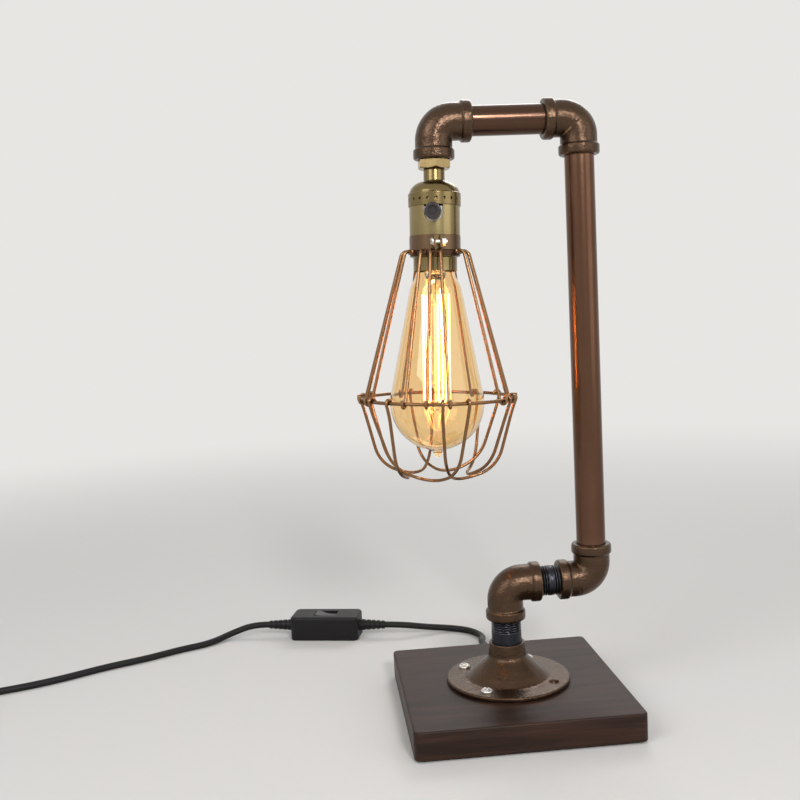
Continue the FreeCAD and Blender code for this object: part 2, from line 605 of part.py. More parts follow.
def make_lampholder():
    """Make the bushing, the hollow rod and the pieces of the lampholder."""
    bushing = Piece("reducer_bushing", HEAD)
    bushing.pad(hexagon(bushing, "hex_flats", "-hex_top"), "hex_height", back=True)
    bushing.pad(bushing.circle("XY", "bush_spigot_r", lift="-hex_top"), "bush_spigot")
    bushing.cut(bushing.circle("XY", "rod_r+fit", lift="0"), "cap_neck_end")
    foot = "-(hex_top+hex_height)"
    reach = "hex_flats/2/cos(30*1deg)"
    bushing.turned([("hex_flats/2", foot), (reach + "+1", foot), (reach + "+1", foot + "+(%s+1-hex_flats/2)*0.6" % reach)],
                   "Groove")
    top = "-hex_top"
    bushing.turned([("hex_flats/2", top), (reach + "+1", top), (reach + "+1", top + "-(%s+1-hex_flats/2)*0.4" % reach)],
                   "Groove")

    tube("lamp_nipple", HEAD, "rod_r", "rod_bore_r", "-rod_end", "-rod_top")

    cap = Piece("socket_cap", HEAD)
    bore = "rod_r+fit"
    wall = "brass_thick"
    cap.turned([
        (bore, "-cap_neck_top"), ("cap_neck_r-0.6", "-cap_neck_top"), ("cap_neck_r", "-cap_neck_top-0.6"),
        ("cap_neck_r", "-cap_neck_end", "dome_bow", "right"), ("dome_r", "-dome_end"),
        ("band_r", "-dome_end-0.3"), ("band_r", "-band_end"), ("band_r-" + wall, "-band_end"),
        ("band_r-" + wall, "-dome_end-0.8"), ("dome_r-1", "-dome_end-0.8", "dome_bow-1", "left"),
        ("cap_neck_r-1", "-cap_neck_end-1.3"), (bore, "-cap_neck_end-1.3")])
    vent = cap.cut(cap.circle("XZ", "vent_r", y="-vent_depth"), "band_r+1", along=True)
    cap.ring_of([vent], "vent_count")

    shell = Piece("socket_shell", KEY)
    shell.turned([
        ("shell_r-" + wall, "-shell_top"), ("shell_r", "-shell_top"), ("shell_r", "-shell_step"),
        ("waist_r", "-shell_step"), ("waist_r", "-waist_end"), ("skirt_r", "-waist_end-0.7"),
        ("skirt_r", "-skirt_end"), ("skirt_r-" + wall, "-skirt_end"), ("skirt_r-" + wall, "-waist_end"),
        ("waist_r-" + wall, "-waist_end+0.5"), ("waist_r-" + wall, "-shell_step+0.8"),
        ("shell_r-" + wall, "-shell_step+0.8")])
    cut_key_slot(shell, "slot_r")

    liner = Piece("insulating_liner", KEY)
    liner.turned([
        ("liner_r-liner_thick", "-block_top"), ("liner_r", "-block_top"), ("liner_r", "-shell_step+1.6"),
        ("liner_low_r", "-shell_step+0.6"), ("liner_low_r", "-skirt_end+1.5"),
        ("liner_low_r-liner_thick", "-skirt_end+1.5"), ("liner_low_r-liner_thick", "-shell_step+1.2"),
        ("liner_r-liner_thick", "-shell_step+2.2")])
    cut_key_slot(liner, "slot_r+0.6")

    block = Piece("switch_block", KEY)
    block.turned([("0", "-block_end"), ("block_r-2.2", "-block_end"), ("block_r", "-block_end+2.2"),
                  ("block_r", "-block_top"), ("0", "-block_top")])
    block.cut(block.circle("XZ", "stem_r+fit", y="-key_depth", lift="stem_root-0.3"), "block_r", along=True)

    sleeve = Piece("screw_shell", HEAD)
    inner = "sleeve_r-sleeve_thick"
    top = "-block_end-0.05"
    sleeve.turned([("6", top), ("sleeve_r", top), ("sleeve_r", "-sleeve_end"), (inner, "-sleeve_end"),
                   (inner, top + "-sleeve_thick"), ("6", top + "-sleeve_thick")])

    contact = Piece("centre_contact", HEAD)
    contact.pad(contact.circle("XY", "contact_r", lift=top), "contact_end-block_end-0.05", back=True)

    terminals = Piece("terminal_screws", KEY)
    lift = "-block_top+0.05"
    first = terminals.pad(terminals.circle("XY", "terminal_r", "terminal_ring_r", lift=lift), "2.6")
    terminals.ring_of([first], "2")


def cut_key_slot(piece, radius):
    """Cut the slot for the key, open at the top and round at the bottom."""
    open_top = "-shell_top+1"
    middle = "-key_depth"
    outline = piece.outline("XZ", [
        ("-(%s)" % radius, open_top), ("-(%s)" % radius, middle, "%s+0.001" % radius, "left"),
        (radius, middle), (radius, open_top)])
    piece.cut(outline, "shell_r+1", along=True)


def make_key():
    """Make the key's stem and its dished knob, both pointing to the front."""
    stem = Piece("key_stem", KEY)
    stem.pad(stem.circle("XZ", "stem_r", y="-key_depth", lift="stem_root"), "stem_end-stem_root")
    knob = Piece("key_knob", KEY)
    knob.pad(knob.circle("XZ", "knob_r", y="-key_depth", lift="knob_root"), "knob_end-knob_root")
    face = -number("knob_end")
    outer = number("knob_r")
    knob.rounded("0.8", lambda e, m: abs(m.y - face) < 1e-6 and abs(e.Length - 2 * math.pi * outer) < 0.1)
    knob.cut(knob.circle("XZ", "knob_dish_r", y="-key_depth", lift="knob_end-knob_dish"), "knob_dish+1", along=True)
    knob.cut(knob.circle("XZ", "stem_r+fit", y="-key_depth", lift="knob_root-1"), "knob_end", along=True)


# cage


def make_collar():
    """Make the cage's clamp collar with its two ears, the screw, the nut and the neck ring."""
    collar = Piece("cage_collar", COLLAR)
    inner = "waist_r+fit"
    collar.turned([(inner, "-collar_top"), ("collar_r", "-collar_top"), ("collar_r", "-collar_end"),
                   (inner, "-collar_end")])
    half = "(ear_reach-waist_r-0.6)/2"
    ears = box_sketch(collar, "ear_gap/2+ear_thick", half, "-collar_end+0.9", y="-(ear_reach+waist_r+0.6)/2")
    collar.pad(ears, "collar_end-collar_top-1.8")
    gap = box_sketch(collar, "ear_gap/2", "ear_reach/2", "-collar_top+1", y="-ear_reach*0.6")
    collar.cut(gap, "collar_end-collar_top+2")
    bore = collar.circle("YZ", "clamp_r+fit", "-clamp_y", "-clamp_depth", "ear_gap")
    collar.cut(bore, "ear_gap*2")

    side = "ear_gap/2+ear_thick+0.05"
    screw = Piece("clamp_screw", COLLAR)
    head = screw.circle("YZ", "clamp_head_r", "-clamp_y", "-clamp_depth", "-(%s)" % side)
    screw.pad(head, "clamp_head", back=True)
    screw.pad(screw.circle("YZ", "clamp_r", "-clamp_y", "-clamp_depth", "-(%s)" % side), "2*(%s)+nut_thick+1" % side)

    nut = Piece("clamp_nut", COLLAR)
    nut.pad(hexagon(nut, "nut_flats", side, "YZ", "-clamp_y", "-clamp_depth"), "nut_thick")
    nut.cut(nut.circle("YZ", "clamp_r+fit", "-clamp_y", "-clamp_depth", side + "+nut_thick+1"), "nut_thick+2")

    tube("neck_ring", HEAD, "neck_ring_r", inner, "-neck_ring_end", "-collar_end-0.05")


# Wires stand in four hand-set groups: first wire's direction from the front and the step, in degrees.
WIRE_GROUPS = {
    "cage_wires_front": (-24.5, 16.75),
    "cage_wires_right": (57.0, 17.0),
    "cage_wires_back": (148.0, 32.5),
    "cage_wires_left": (-90.0, 14.0),
}


def make_cage_wires():
    """Make the twelve upper wires in four groups, and the waist ring that they hook round."""
    for name, (first, step) in WIRE_GROUPS.items():
        group = Piece(name, HEAD + "*" + at(angle="front_bearing+%s" % first))
        tip_out = "(ring_r+hook_r*sin(hook_turn*1deg))"
        tip_up = "(-ring_depth-hook_r*cos(hook_turn*1deg))"
        bottom = "-ring_depth-hook_r"
        path = group.outline("XZ", [
            ("wire_root_r", "-wire_top"), ("shoulder_x", "-wire_top", "shoulder_r", "right"),
            ("leg_head_x", "leg_head_z"), ("leg_foot_x", "leg_foot_z", "hook_r", "left"),
            ("ring_r", bottom, "hook_r", "left"), (tip_out, tip_up),
            (tip_out + "+hook_tip*cos(hook_turn*1deg)", tip_up + "+hook_tip*sin(hook_turn*1deg)")], closed=False)
        profile = group.circle("YZ", "wire_r", y="-wire_top", lift="wire_root_r")
        group.ring_of([group.swept(profile, path)], "3", "%s*2" % step)
    ring = Piece("cage_ring", HEAD)
    profile = ring.circle("XZ", "ring_wire_r", "ring_r", "-ring_depth")
    ring.feature("Revolution", profile, ReferenceAxis=(profile, ["V_Axis"]), Angle="360")


def place(feature, seat):
    """Give a free shape the placement that a seat expression describes."""
    feature.setExpression("Placement", seat)
    doc.recompute()


def pipe_along(edges, start, heading, radius):
    """Sweep a circle along joined edges and return the solid."""
    ring = Part.Wire([Part.makeCircle(radius, start, heading)])
    return Part.Wire(edges).makePipeShell([ring], True, False)


def loop_route(middle, side):
    """Return one half of a basket loop: the hook over the ring, then the corners down to its toe.

    The middle is the loop's direction in radians and the side is -1 or 1. One side's knee
    stands a little outwards and the other's inwards, so neighbouring loops pass each other.
    """
    ring_r = number("ring_r")
    hook = number("hook_r")
    ring_z = -number("ring_depth")
    lean = math.radians(number("loop_hook_lean"))
    azimuth = middle + side * math.radians(number("loop_spread"))

    def spot(out, turn, z):
        """Return the point at a distance from the middle line, in a direction and at a height."""
        return Vector(out * math.sin(turn), -out * math.cos(turn), z)

    arc = [spot(ring_r + hook * math.cos(a), azimuth, ring_z + hook * math.sin(a))
           for a in (math.pi + lean, math.pi / 2, -lean)]
    down = spot(-math.sin(lean), azimuth, -math.cos(lean))
    shift = side * number("weave") / math.sqrt(2)
    knee = spot(number("knee_r") + shift, middle + side * math.radians(number("knee_spread")),
                ring_z - number("knee_drop") - shift)
    toe = spot(number("toe_r"), middle, ring_z - number("toe_drop"))
    return arc, [arc[2], arc[2].add(down * number("loop_straight")), knee, toe]


def make_basket():
    """Make the wire loops that hook over the ring and cross below the bulb, as three parts."""
    count = int(number("loop_count"))
    solids = []
    for k in range(count):
        middle = math.radians(number("loop_bearing")) + 2 * math.pi * k / count
        first, down = loop_route(middle, -1)
        last, up = loop_route(middle, 1)
        edges, radii = rounded_route(down + up[-2::-1])
        edges.insert(0, Part.Arc(*first).toShape())
        edges.append(Part.Arc(*reversed(last)).toShape())
        curve = edges[0].Curve
        start = edges[0].valueAt(edges[0].FirstParameter)
        heading = curve.tangent(edges[0].FirstParameter)[0]
        solids.append(pipe_along(edges, start, heading, number("wire_r")))
    for k in range(3):
        basket = doc.addObject("Part::Feature", "basket_loops_%d" % (k + 1))
        basket.Label = "basket_loops_%d" % (k + 1)
        basket.Shape = Part.makeCompound(solids[k::3])
        place(basket, HEAD + "*" + at(angle="front_bearing-270"))
    gap = min(solids[0].distToShape(solids[1])[0], solids[0].distToShape(solids[-1])[0])
    print("basket loops: %d, least bend %.1f, gap between neighbours %.2f" % (count, min(radii), gap))


# bulb


def make_bulb():
    """Make the bulb: screw cap, insulator, contact, glass, stem, filament and its hooks."""
    cap = Piece("bulb_cap", HEAD)
    cap.turned([
        ("7.5", "-cap_top"), ("cap_r-1.6", "-cap_top"), ("cap_r", "-cap_top-2.2"), ("cap_r", "-cap_end"),
        ("cap_r-cap_wall", "-cap_end"), ("cap_r-cap_wall", "-cap_top-2.5"), ("cap_r-2.0", "-cap_top-cap_wall"),
        ("7.5", "-cap_top-cap_wall")])
    insulator = Piece("cap_insulator", HEAD)
    insulator.turned([("0", "-button_end-0.02"), ("button_r+0.6", "-button_end-0.02"), ("7.4", "-cap_top+0.4"),
                      ("7.4", "-cap_top-0.9"), ("0", "-cap_top-0.9")])
    button = Piece("cap_contact", HEAD)
    button.turned([("0", "-button_top"), ("button_r-0.5", "-button_top"), ("button_r", "-button_top-0.4"),
                   ("button_r", "-button_end"), ("0", "-button_end")])

    glass = Piece("bulb_glass", HEAD)
    slope_out = "bulb_r*cos(bulb_slope*1deg)"
    slope_end = "-(bulb_depth-bulb_r*sin(bulb_slope*1deg))"
    fall = "(bulb_depth-bulb_r*sin(bulb_slope*1deg)-bulb_shoulder)*tan(bulb_slope*1deg)"
    inner = "(bulb_r-bulb_wall)"
    in_out = inner + "*cos(bulb_slope*1deg)"
    in_end = "-(bulb_depth-%s*sin(bulb_slope*1deg))" % inner
    in_fall = "(bulb_depth-%s*sin(bulb_slope*1deg)-bulb_shoulder)*tan(bulb_slope*1deg)" % inner
    glass.turned([
        ("bulb_neck_r-bulb_wall", "-bulb_neck_top"), ("bulb_neck_r", "-bulb_neck_top"),
        ("bulb_neck_r", "-skirt_end+1"), ("bulb_collar_r", "-bulb_collar"),
        ("%s-%s" % (slope_out, fall), "-bulb_shoulder"), (slope_out, slope_end, "bulb_r", "right"),
        ("pip_r", "-bulb_depth-sqrt(bulb_r*bulb_r-pip_r*pip_r)"), ("pip_end_r", "-pip_end+0.9"),
        ("pip_end_r*0.55", "-pip_end"), ("0", "-pip_end"), ("0", "-bulb_depth-" + inner, inner, "left"),
        (in_out, in_end), ("%s-%s" % (in_out, in_fall), "-bulb_shoulder"),
        ("bulb_collar_r-bulb_wall", "-bulb_collar-0.3"), ("bulb_neck_r-bulb_wall", "-skirt_end+0.8")])

    stem = Piece("bulb_stem", HEAD)
    stem.turned([
        ("0", "-bulb_neck_top-0.6"), ("stem_foot_r", "-bulb_neck_top-0.6"), ("stem_foot_r-3.6", "-bulb_shoulder"),
        ("3.4", "-filament_top-3.4"), ("mast_r", "-filament_top-5"), ("mast_r", "-mast_end+2.4"),
        ("mast_r+0.8", "-mast_end+1.4"), ("mast_r+0.8", "-mast_end"), ("0", "-mast_end")])

    filament = Piece("filament", HEAD)
    half = "filament_gap/2"
    lift = "filament_ring_r"
    path = filament.outline("YZ", [
        ("-" + half, "-filament_top"), ("-" + half, "-filament_end", half + "+0.001", "left"),
        (half, "-filament_end"), (half, "-filament_top")], lift=lift, closed=False)
    profile = filament.circle("XY", "filament_r", lift, "-" + half, "-filament_top")
    filament.ring_of([filament.swept(profile, path)], "filament_pairs")

    hooks = Piece("filament_hooks", HEAD)
    upper = hooks.pad(hooks.circle("YZ", "hook_wire_r", y="-filament_top-7.5", lift="mast_r+0.05"),
                      "filament_ring_r-mast_r-0.2-filament_r")
    lower = hooks.pad(hooks.circle("YZ", "hook_wire_r", y="-filament_end-filament_gap/2+0.1", lift="mast_r+0.05"),
                      "filament_ring_r-mast_r-0.3-filament_r")
    hooks.ring_of([upper, lower], "filament_pairs")


# cord switch and plug


def end_relief(name, seat):
    """Turn a tapered strain relief along X; the free cord meets its tip."""
    relief = Piece(name, seat)
    relief.turned([("0", "0"), ("relief_length", "0"), ("relief_length", "relief_tip_r"),
                   ("1.2", "relief_root_r"), ("0", "relief_root_r")], axis="H_Axis")


def make_switch():
    """Make the cord switch: two halves, screws, contacts, reliefs and the rocker."""
    half_x = "switch_length/2"
    half_y = "switch_width/2"
    lower = Piece("switch_lower", SWITCH)
    lower.pad(box_sketch(lower, half_x, half_y), "switch_split")
    lower.rounded("switch_corner", is_upright)
    lower.rounded("switch_edge*0.6", lambda e, m: abs(m.z) < 1e-6)
    lower.cut(box_sketch(lower, half_x + "-switch_wall", half_y + "-switch_wall", "switch_split"),
              "switch_split-switch_wall")
    hole = lower.circle("XY", "1.4", half_x + "-5", lift="switch_wall")
    lower.ring_of([lower.cut(hole, "switch_wall+1")], "2")

    upper = Piece("switch_upper", SWITCH)
    upper.pad(box_sketch(upper, half_x, half_y, "switch_split"), "switch_top-switch_split")
    upper.rounded("switch_corner", is_upright)
    top = number("switch_top")
    upper.rounded("switch_edge", lambda e, m: abs(m.z - top) < 1e-6)
    window = box_sketch(upper, "rocker_length/2+rocker_play", "rocker_width/2+rocker_play/2", "switch_top")
    upper.cut(window, "switch_top-switch_split+1")
    upper.cut(upper.circle("XZ", "pivot_r+fit", y="pivot_height", lift="-(rocker_width/2+pivot_end+0.1)"),
              "rocker_width+2*pivot_end+0.2", along=True)
    post = upper.circle("XY", "1.2", half_x + "-5", lift="switch_split")
    upper.ring_of([upper.cut(post, "5", along=True)], "2")

    screws = Piece("switch_screws", SWITCH)
    head = screws.pad(screws.circle("XY", "2.6", half_x + "-5", lift="switch_wall+0.05"), "1.6")
    shank = screws.pad(screws.circle("XY", "1.1", half_x + "-5", lift="switch_wall+1"), "switch_split+1.5")
    screws.ring_of([head, shank], "2")

    contacts = Piece("switch_contacts", SWITCH)
    strip = contacts.pad(box_sketch(contacts, "7", "2.2", "switch_wall+0.05", x="11"), "1.0")
    contacts.ring_of([strip], "2")

    cord_seat = "*" + at(half_x, "0", "switch_split")
    end_relief("relief_lamp_side", SWITCH + cord_seat)
    end_relief("relief_plug_side", SWITCH + "*" + at(angle="180") + cord_seat)

    rocker = Piece("rocker", SWITCH + "*" + at("0", "0", "pivot_height", (0, 1, 0), "rocker_tilt"))
    reach = "rocker_length/2"
    rocker.pad(rocker.outline("XZ", [
        ("-" + reach, "-2.2"), ("-3", "-5.6"), ("3", "-5.6"), (reach, "-2.2"), (reach, "2.9"),
        ("0", "2.2"), ("-" + reach, "2.9")], lift="-rocker_width/2"), "rocker_width")
    pin = rocker.circle("XZ", "pivot_r", lift="-(rocker_width/2+pivot_end)")
    rocker.pad(pin, "rocker_width+2*pivot_end")


# The cord lies along these points, chosen by hand, from the bush in the base to the switch.
LAMP_CORD = [
    (0, 112, 10), (3, 127, 5.6), (6.5, 143, 2.8), (0, 160.5, 2.8), (-17, 172, 2.8), (-38, 171, 5.6),
]
# It goes on from the switch, out of the picture on the left, to the coil.
PLUG_CORD = [
    (-213, 198.6, 4.6), (-231, 180, 2.8), (-256, 169.5, 2.8), (-281, 153.5, 2.8),
    (-313, 140, 2.8), (-350, 117, 2.8), (-387, 103, 2.8), (-412, 98, 2.8),
]
COIL_START = Vector(-434, 98, 2.8)


def switch_end(side, reach):
    """Return a point on the switch's line, beyond one of its ends."""
    turn = math.radians(number("switch_bearing"))
    along = side * (number("switch_length") / 2 + reach)
    return Vector(number("switch_x") + along * math.cos(turn), number("switch_y") + along * math.sin(turn),
                  number("switch_split"))


def rounded_route(points, bend=None):
    """Return straight runs joined by tangent arcs, and the arcs' radii.

    Each arc's radius is 0.45 of the shorter run beside it, divided by the tangent of half the
    turn, or the given bend.
    """
    edges = []
    radii = []
    last = points[0]
    for before, here, after in zip(points, points[1:], points[2:]):
        back = before.sub(here)
        ahead = after.sub(here)
        half = (math.pi - back.getAngle(ahead)) / 2
        radius = bend or 0.45 * min(back.Length, ahead.Length) / math.tan(half)
        touch = radius * math.tan(half)
        back.normalize()
        ahead.normalize()
        start = here.add(back * touch)
        end = here.add(ahead * touch)
        inward = back.add(ahead).normalize()
        middle = here.add(inward * (radius / math.cos(half) - radius))
        if last.distanceToPoint(start) > 1e-3:
            edges.append(Part.LineSegment(last, start).toShape())
        edges.append(Part.Arc(start, middle, end).toShape())
        radii.append(radius)
        last = end
    edges.append(Part.LineSegment(last, points[-1]).toShape())
    return edges, radii


def make_cord_tube(name, points, radius, bend=None):
    """Make a tube along a route and compare its volume with its section times its length."""
    points = [Vector(*p) for p in points]
    edges, radii = rounded_route(points, bend)
    solid = pipe_along(edges, points[0], points[1].sub(points[0]), radius)
    length = sum(edge.Length for edge in edges)
    share = solid.Volume / (math.pi * radius * radius * length)
    print("%s: length %.1f, least radius %.1f, volume share %.4f" % (name, length, min(radii), share))
    if not bend:
        print("  radii " + ", ".join("%.0f" % r for r in radii))
    feature = doc.addObject("Part::Feature", name)
    feature.Label = name
    feature.Shape = solid
    return length


def make_leads():
    """Make the cord inside the pipes, in three stretches that meet on the joints' axes."""
    low = number("elbow_reach-seat_depth")
    height = number("elbow_height")
    column = number("offset_length")
    arm = number("arm_height")
    head = number("head_x")
    bend = 12.0
    tip = number("base_width/2+gland_collar+relief_length")
    cord = number("cord_height")
    make_cord_tube("lead_base", [(0, tip, cord), (0, 0, cord), (0, 0, height), (column, 0, height),
                                 (column, 0, height + low - 0.4)], number("cord_r"), bend)
    make_cord_tube("lead_mast", [(column, 0, height + low + 0.1), (column, 0, arm), (head + low + 0.1, 0, arm)],
                   number("rod_bore_r-1.2"), bend)
    lean = math.radians(number("drop_lean"))
    depth = number("block_top") - 0.2
    end = (head - depth * math.sin(lean), 0, arm - depth * math.cos(lean))
    make_cord_tube("lead_head", [(head + low - 0.4, 0, arm), (head, 0, arm), end], number("rod_bore_r-1.2"), bend)


def quarter(start, heading, end):
    """Return the arc that leaves a point along a heading and reaches another, and its last heading."""
    chord = end.sub(start)
    length = chord.Length
    along = Vector(chord).normalize()
    across = heading.sub(along * heading.dot(along))
    half = heading.getAngle(chord)
    across.normalize()
    middle = start.add(chord * 0.5).add(across * (length / 2 * math.tan(half / 2)))
    leaving = along * (2 * heading.dot(along)) - heading
    return Part.Arc(start, middle, end).toShape(), leaving


def make_coil():
    """Wind the put-away cord: half turns inwards, a climb, then half turns outwards on top.

    Each half turn is a half circle whose radius is a quarter pitch less or more than the one
    before, twice over, so neighbouring turns lie one pitch apart.
    """
    first = number("coil_first_r")
    step = number("coil_pitch") / 2
    rise = number("coil_rise")
    inwards = int(number("coil_halves"))
    radii = [first - step * i for i in range(inwards)]
    radii.append(radii[-1] - step)
    radii += [radii[-1] + step * (i + 1) for i in range(inwards + 1)]
    radius = number("cord_r")
    lead_in = COIL_START.add(Vector(2 * radius, 0, 0))
    edges = [Part.LineSegment(lead_in, COIL_START).toShape()]
    spot = Vector(COIL_START)
    heading = Vector(-1, 0, 0)
    for i, turn in enumerate(radii):
        climb = rise if i == inwards else 0.0
        down = Vector(-heading.y, heading.x, 0)
        middle_r = math.sqrt(turn * turn + climb * climb / 4)
        halfway = spot.add(down * turn).add(heading * middle_r).add(Vector(0, 0, climb / 2))
        end = spot.add(down * (2 * turn)).add(Vector(0, 0, climb))
        arc, leaving = quarter(spot, heading, halfway)
        edges.append(arc)
        arc, leaving = quarter(halfway, leaving, end)
        edges.append(arc)
        spot = end
        heading = heading * -1
    out = spot.add(heading * (2 * radius))
    edges.append(Part.LineSegment(spot, out).toShape())
    length = sum(edge.Length for edge in edges)
    solid = pipe_along(edges, lead_in, Vector(-1, 0, 0), radius)
    share = solid.Volume / (math.pi * radius * radius * length)
    print("cord_coil: length %.1f, volume share %.4f, least gap to itself %.2f" %
          (length, share, least_gap(edges, radius)))
    coil = doc.addObject("Part::Feature", "cord_coil")
    coil.Label = "cord_coil"
    coil.Shape = solid
    return out, length


def least_gap(edges, radius):
    """Measure the least gap between parts of a tube that lie more than half a turn apart."""
    points = []
    travelled = []
    gone = 0.0
    for edge in edges:
        count = max(int(edge.Length / 2.0), 2)
        for i in range(count):
            share = i / count
            first, last = edge.ParameterRange
            points.append(edge.valueAt(first + (last - first) * share))
            travelled.append(gone + edge.Length * share)
        gone += edge.Length
    least = 1e9
    apart = 8 * 2 * radius
    for i, a in enumerate(points):
        for j in range(i + 1, len(points)):
            if travelled[j] - travelled[i] > apart:
                least = min(least, a.distanceToPoint(points[j]))
    return least - 2 * radius


def make_plug(seat):
    """Make the plug with its two round pins, lying flat."""
    plug = Piece("plug_body", seat)
    wide = "plug_width/2"
    plug.pad(plug.outline("XY", [
        ("-plug_length", "-6.5"), ("-plug_length*0.6", "-plug_width*0.4"), ("-3", "-(%s)" % wide),
        ("0", "-(%s)+1.5" % wide), ("0", wide + "-1.5"), ("-3", wide), ("-plug_length*0.6", "plug_width*0.4"),
        ("-plug_length", "6.5")]), "plug_height")
    top = number("plug_height")
    plug.rounded("2.6", lambda e, m: min(abs(m.z), abs(m.z - top)) < 1e-6 and m.x < -0.01)
    middle = "plug_height/2"
    relief_on_plug(plug, middle)
    for side in ("pin_pitch/2", "-pin_pitch/2"):
        plug.cut(plug.circle("YZ", "pin_root_r+0.02", side, middle), "pin_root+0.1")

    pins = Piece("plug_pins", seat)
    for side in ("pin_pitch/2", "-pin_pitch/2"):
        pins.pad(pins.circle("YZ", "pin_r", side, middle), "pin_length")
        pins.pad(pins.circle("YZ", "pin_root_r", side, middle), "pin_root", back=True)


def relief_on_plug(plug, middle):
    """Add the plug's tapered relief as a loft between two circles."""
    root = plug.circle("YZ", "relief_root_r", "0", middle, "-plug_length+2")
    tip = plug.circle("YZ", "relief_tip_r", "0", middle, "-plug_length-relief_length")
    plug.feature("AdditiveLoft", root, Sections=[tip], Ruled=True)


def make_cords():
    """Make the free cord, the coil, the tail and the plug, and print the whole length."""
    relief = number("relief_length")
    bush = (0, number("base_width/2+gland_collar+relief_length"), number("cord_height"))
    lamp = [bush] + LAMP_CORD + [tuple(switch_end(1, relief + 16)), tuple(switch_end(1, relief))]
    total = make_cord_tube("cord_base_side", lamp, number("cord_r"))
    end = COIL_START.add(Vector(2 * number("cord_r"), 0, 0))
    plug_side = [tuple(switch_end(-1, relief)), tuple(switch_end(-1, relief + 15))] + PLUG_CORD + [tuple(end)]
    total += make_cord_tube("cord_plug_side", plug_side, number("cord_r"))
    out, coil_length = make_coil()
    total += coil_length
    middle = number("plug_height") / 2
    tail = [tuple(out), (out.x - 14, out.y, out.z), (out.x - 34, out.y - 5, out.z - 1.2),
            (out.x - 52, out.y - 7, middle), (out.x - 64, out.y - 7, middle)]
    total += make_cord_tube("cord_tail", tail, number("cord_r"))
    reach = number("plug_length") + relief
    make_plug(at(str(tail[-1][0] - reach), str(tail[-1][1]), axis=(0, 0, 1), angle="180"))
    print("free cord in all: %.0f mm" % total)


def check_and_write():
    """Stop on any faulty feature or open shape, then write one file for each piece."""
    doc.recompute()
    os.makedirs("parts", exist_ok=True)
    pieces = []
    for item in doc.Objects:
        if "Invalid" in item.State or "Error" in item.State:
            raise RuntimeError("faulty feature: %s %s" % (item.Label, item.State))
        if item.TypeId in ("PartDesign::Body", "Part::Feature"):
            pieces.append(item)
    for item in pieces:
        shape = item.Shape
        if not shape.isValid() or not shape.Solids or shape.Volume <= 0:
            raise RuntimeError("bad shape: " + item.Label)
        shape.exportStep("parts/%s.step" % item.Label)
    print("%d pieces written" % len(pieces))


make_base()
make_flange()
make_fittings()
make_lampholder()
make_key()
make_collar()
make_cage_wires()
make_basket()
make_bulb()
make_switch()
make_leads()
make_cords()
check_and_write()
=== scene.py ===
"""Looks of an industrial pipe table lamp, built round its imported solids.

All shapes are worked out in millimetres in the lamp's own frame: the origin is the middle of
the base's underside, X runs along the arm away from the bulb, Y to the rear and Z up. They
turn into metres when a mesh or curve is made.
"""

import json
import logging
import math
from collections.abc import Callable, Sequence
from dataclasses import dataclass, field, replace
from enum import Enum

import bpy
import numpy as np
from mathutils import Matrix, Vector

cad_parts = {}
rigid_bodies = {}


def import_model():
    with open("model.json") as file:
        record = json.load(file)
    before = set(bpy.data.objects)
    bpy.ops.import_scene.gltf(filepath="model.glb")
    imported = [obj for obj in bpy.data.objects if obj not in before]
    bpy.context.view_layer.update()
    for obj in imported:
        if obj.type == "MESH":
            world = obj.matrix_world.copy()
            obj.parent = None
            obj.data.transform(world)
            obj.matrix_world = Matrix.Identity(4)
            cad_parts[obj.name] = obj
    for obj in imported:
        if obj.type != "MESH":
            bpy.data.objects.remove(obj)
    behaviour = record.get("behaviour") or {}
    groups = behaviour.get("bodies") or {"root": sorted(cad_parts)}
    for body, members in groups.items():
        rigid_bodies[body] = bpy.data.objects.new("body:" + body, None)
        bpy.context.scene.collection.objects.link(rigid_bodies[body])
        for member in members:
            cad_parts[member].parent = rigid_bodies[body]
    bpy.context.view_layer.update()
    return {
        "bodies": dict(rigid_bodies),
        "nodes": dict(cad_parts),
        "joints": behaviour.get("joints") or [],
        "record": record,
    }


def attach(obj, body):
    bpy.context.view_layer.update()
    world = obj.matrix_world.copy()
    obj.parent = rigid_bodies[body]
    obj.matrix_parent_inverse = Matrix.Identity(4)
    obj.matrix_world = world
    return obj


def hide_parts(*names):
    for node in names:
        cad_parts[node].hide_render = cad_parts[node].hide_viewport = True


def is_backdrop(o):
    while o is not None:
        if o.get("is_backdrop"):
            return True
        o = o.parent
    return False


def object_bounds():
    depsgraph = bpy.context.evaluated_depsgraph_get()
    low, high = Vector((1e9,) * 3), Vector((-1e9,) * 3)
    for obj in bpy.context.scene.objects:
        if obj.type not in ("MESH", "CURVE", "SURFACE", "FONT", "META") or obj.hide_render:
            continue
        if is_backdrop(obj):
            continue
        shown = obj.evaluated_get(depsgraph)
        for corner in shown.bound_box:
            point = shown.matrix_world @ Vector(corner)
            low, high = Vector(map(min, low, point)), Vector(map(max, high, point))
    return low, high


LOG = logging.getLogger("pipe_lamp")
MM = 0.001
HEAD_X = -36.4
ARM_Z = 412.5
LEAN = 1.8
COLUMN_X = 63.6
ELBOW_Z = 90.4
BOARD_TOP = 20.55
PLATE_TOP = BOARD_TOP + 3.4
NIPPLE_R = 10.62
PIPE_R = 10.2
RING_R, RING_Z = 52.1, -187.2


class Body(str, Enum):
    """The moving bodies that pieces ride on."""

    ROOT = "root"
    MAST = "mast"
    HEAD = "head"
    KEY = "key"
    BULB = "bulb"
    ROCKER = "switch_rocker"


# places


def turn(axis: str, degrees: float) -> np.ndarray:
    """Return a 4 by 4 turn about one axis.

    Args:
        axis: "X", "Y" or "Z".
        degrees: The turn by the right-hand rule.

    Returns:
        The matrix.
    """
    return np.array(Matrix.Rotation(math.radians(degrees), 4, axis))


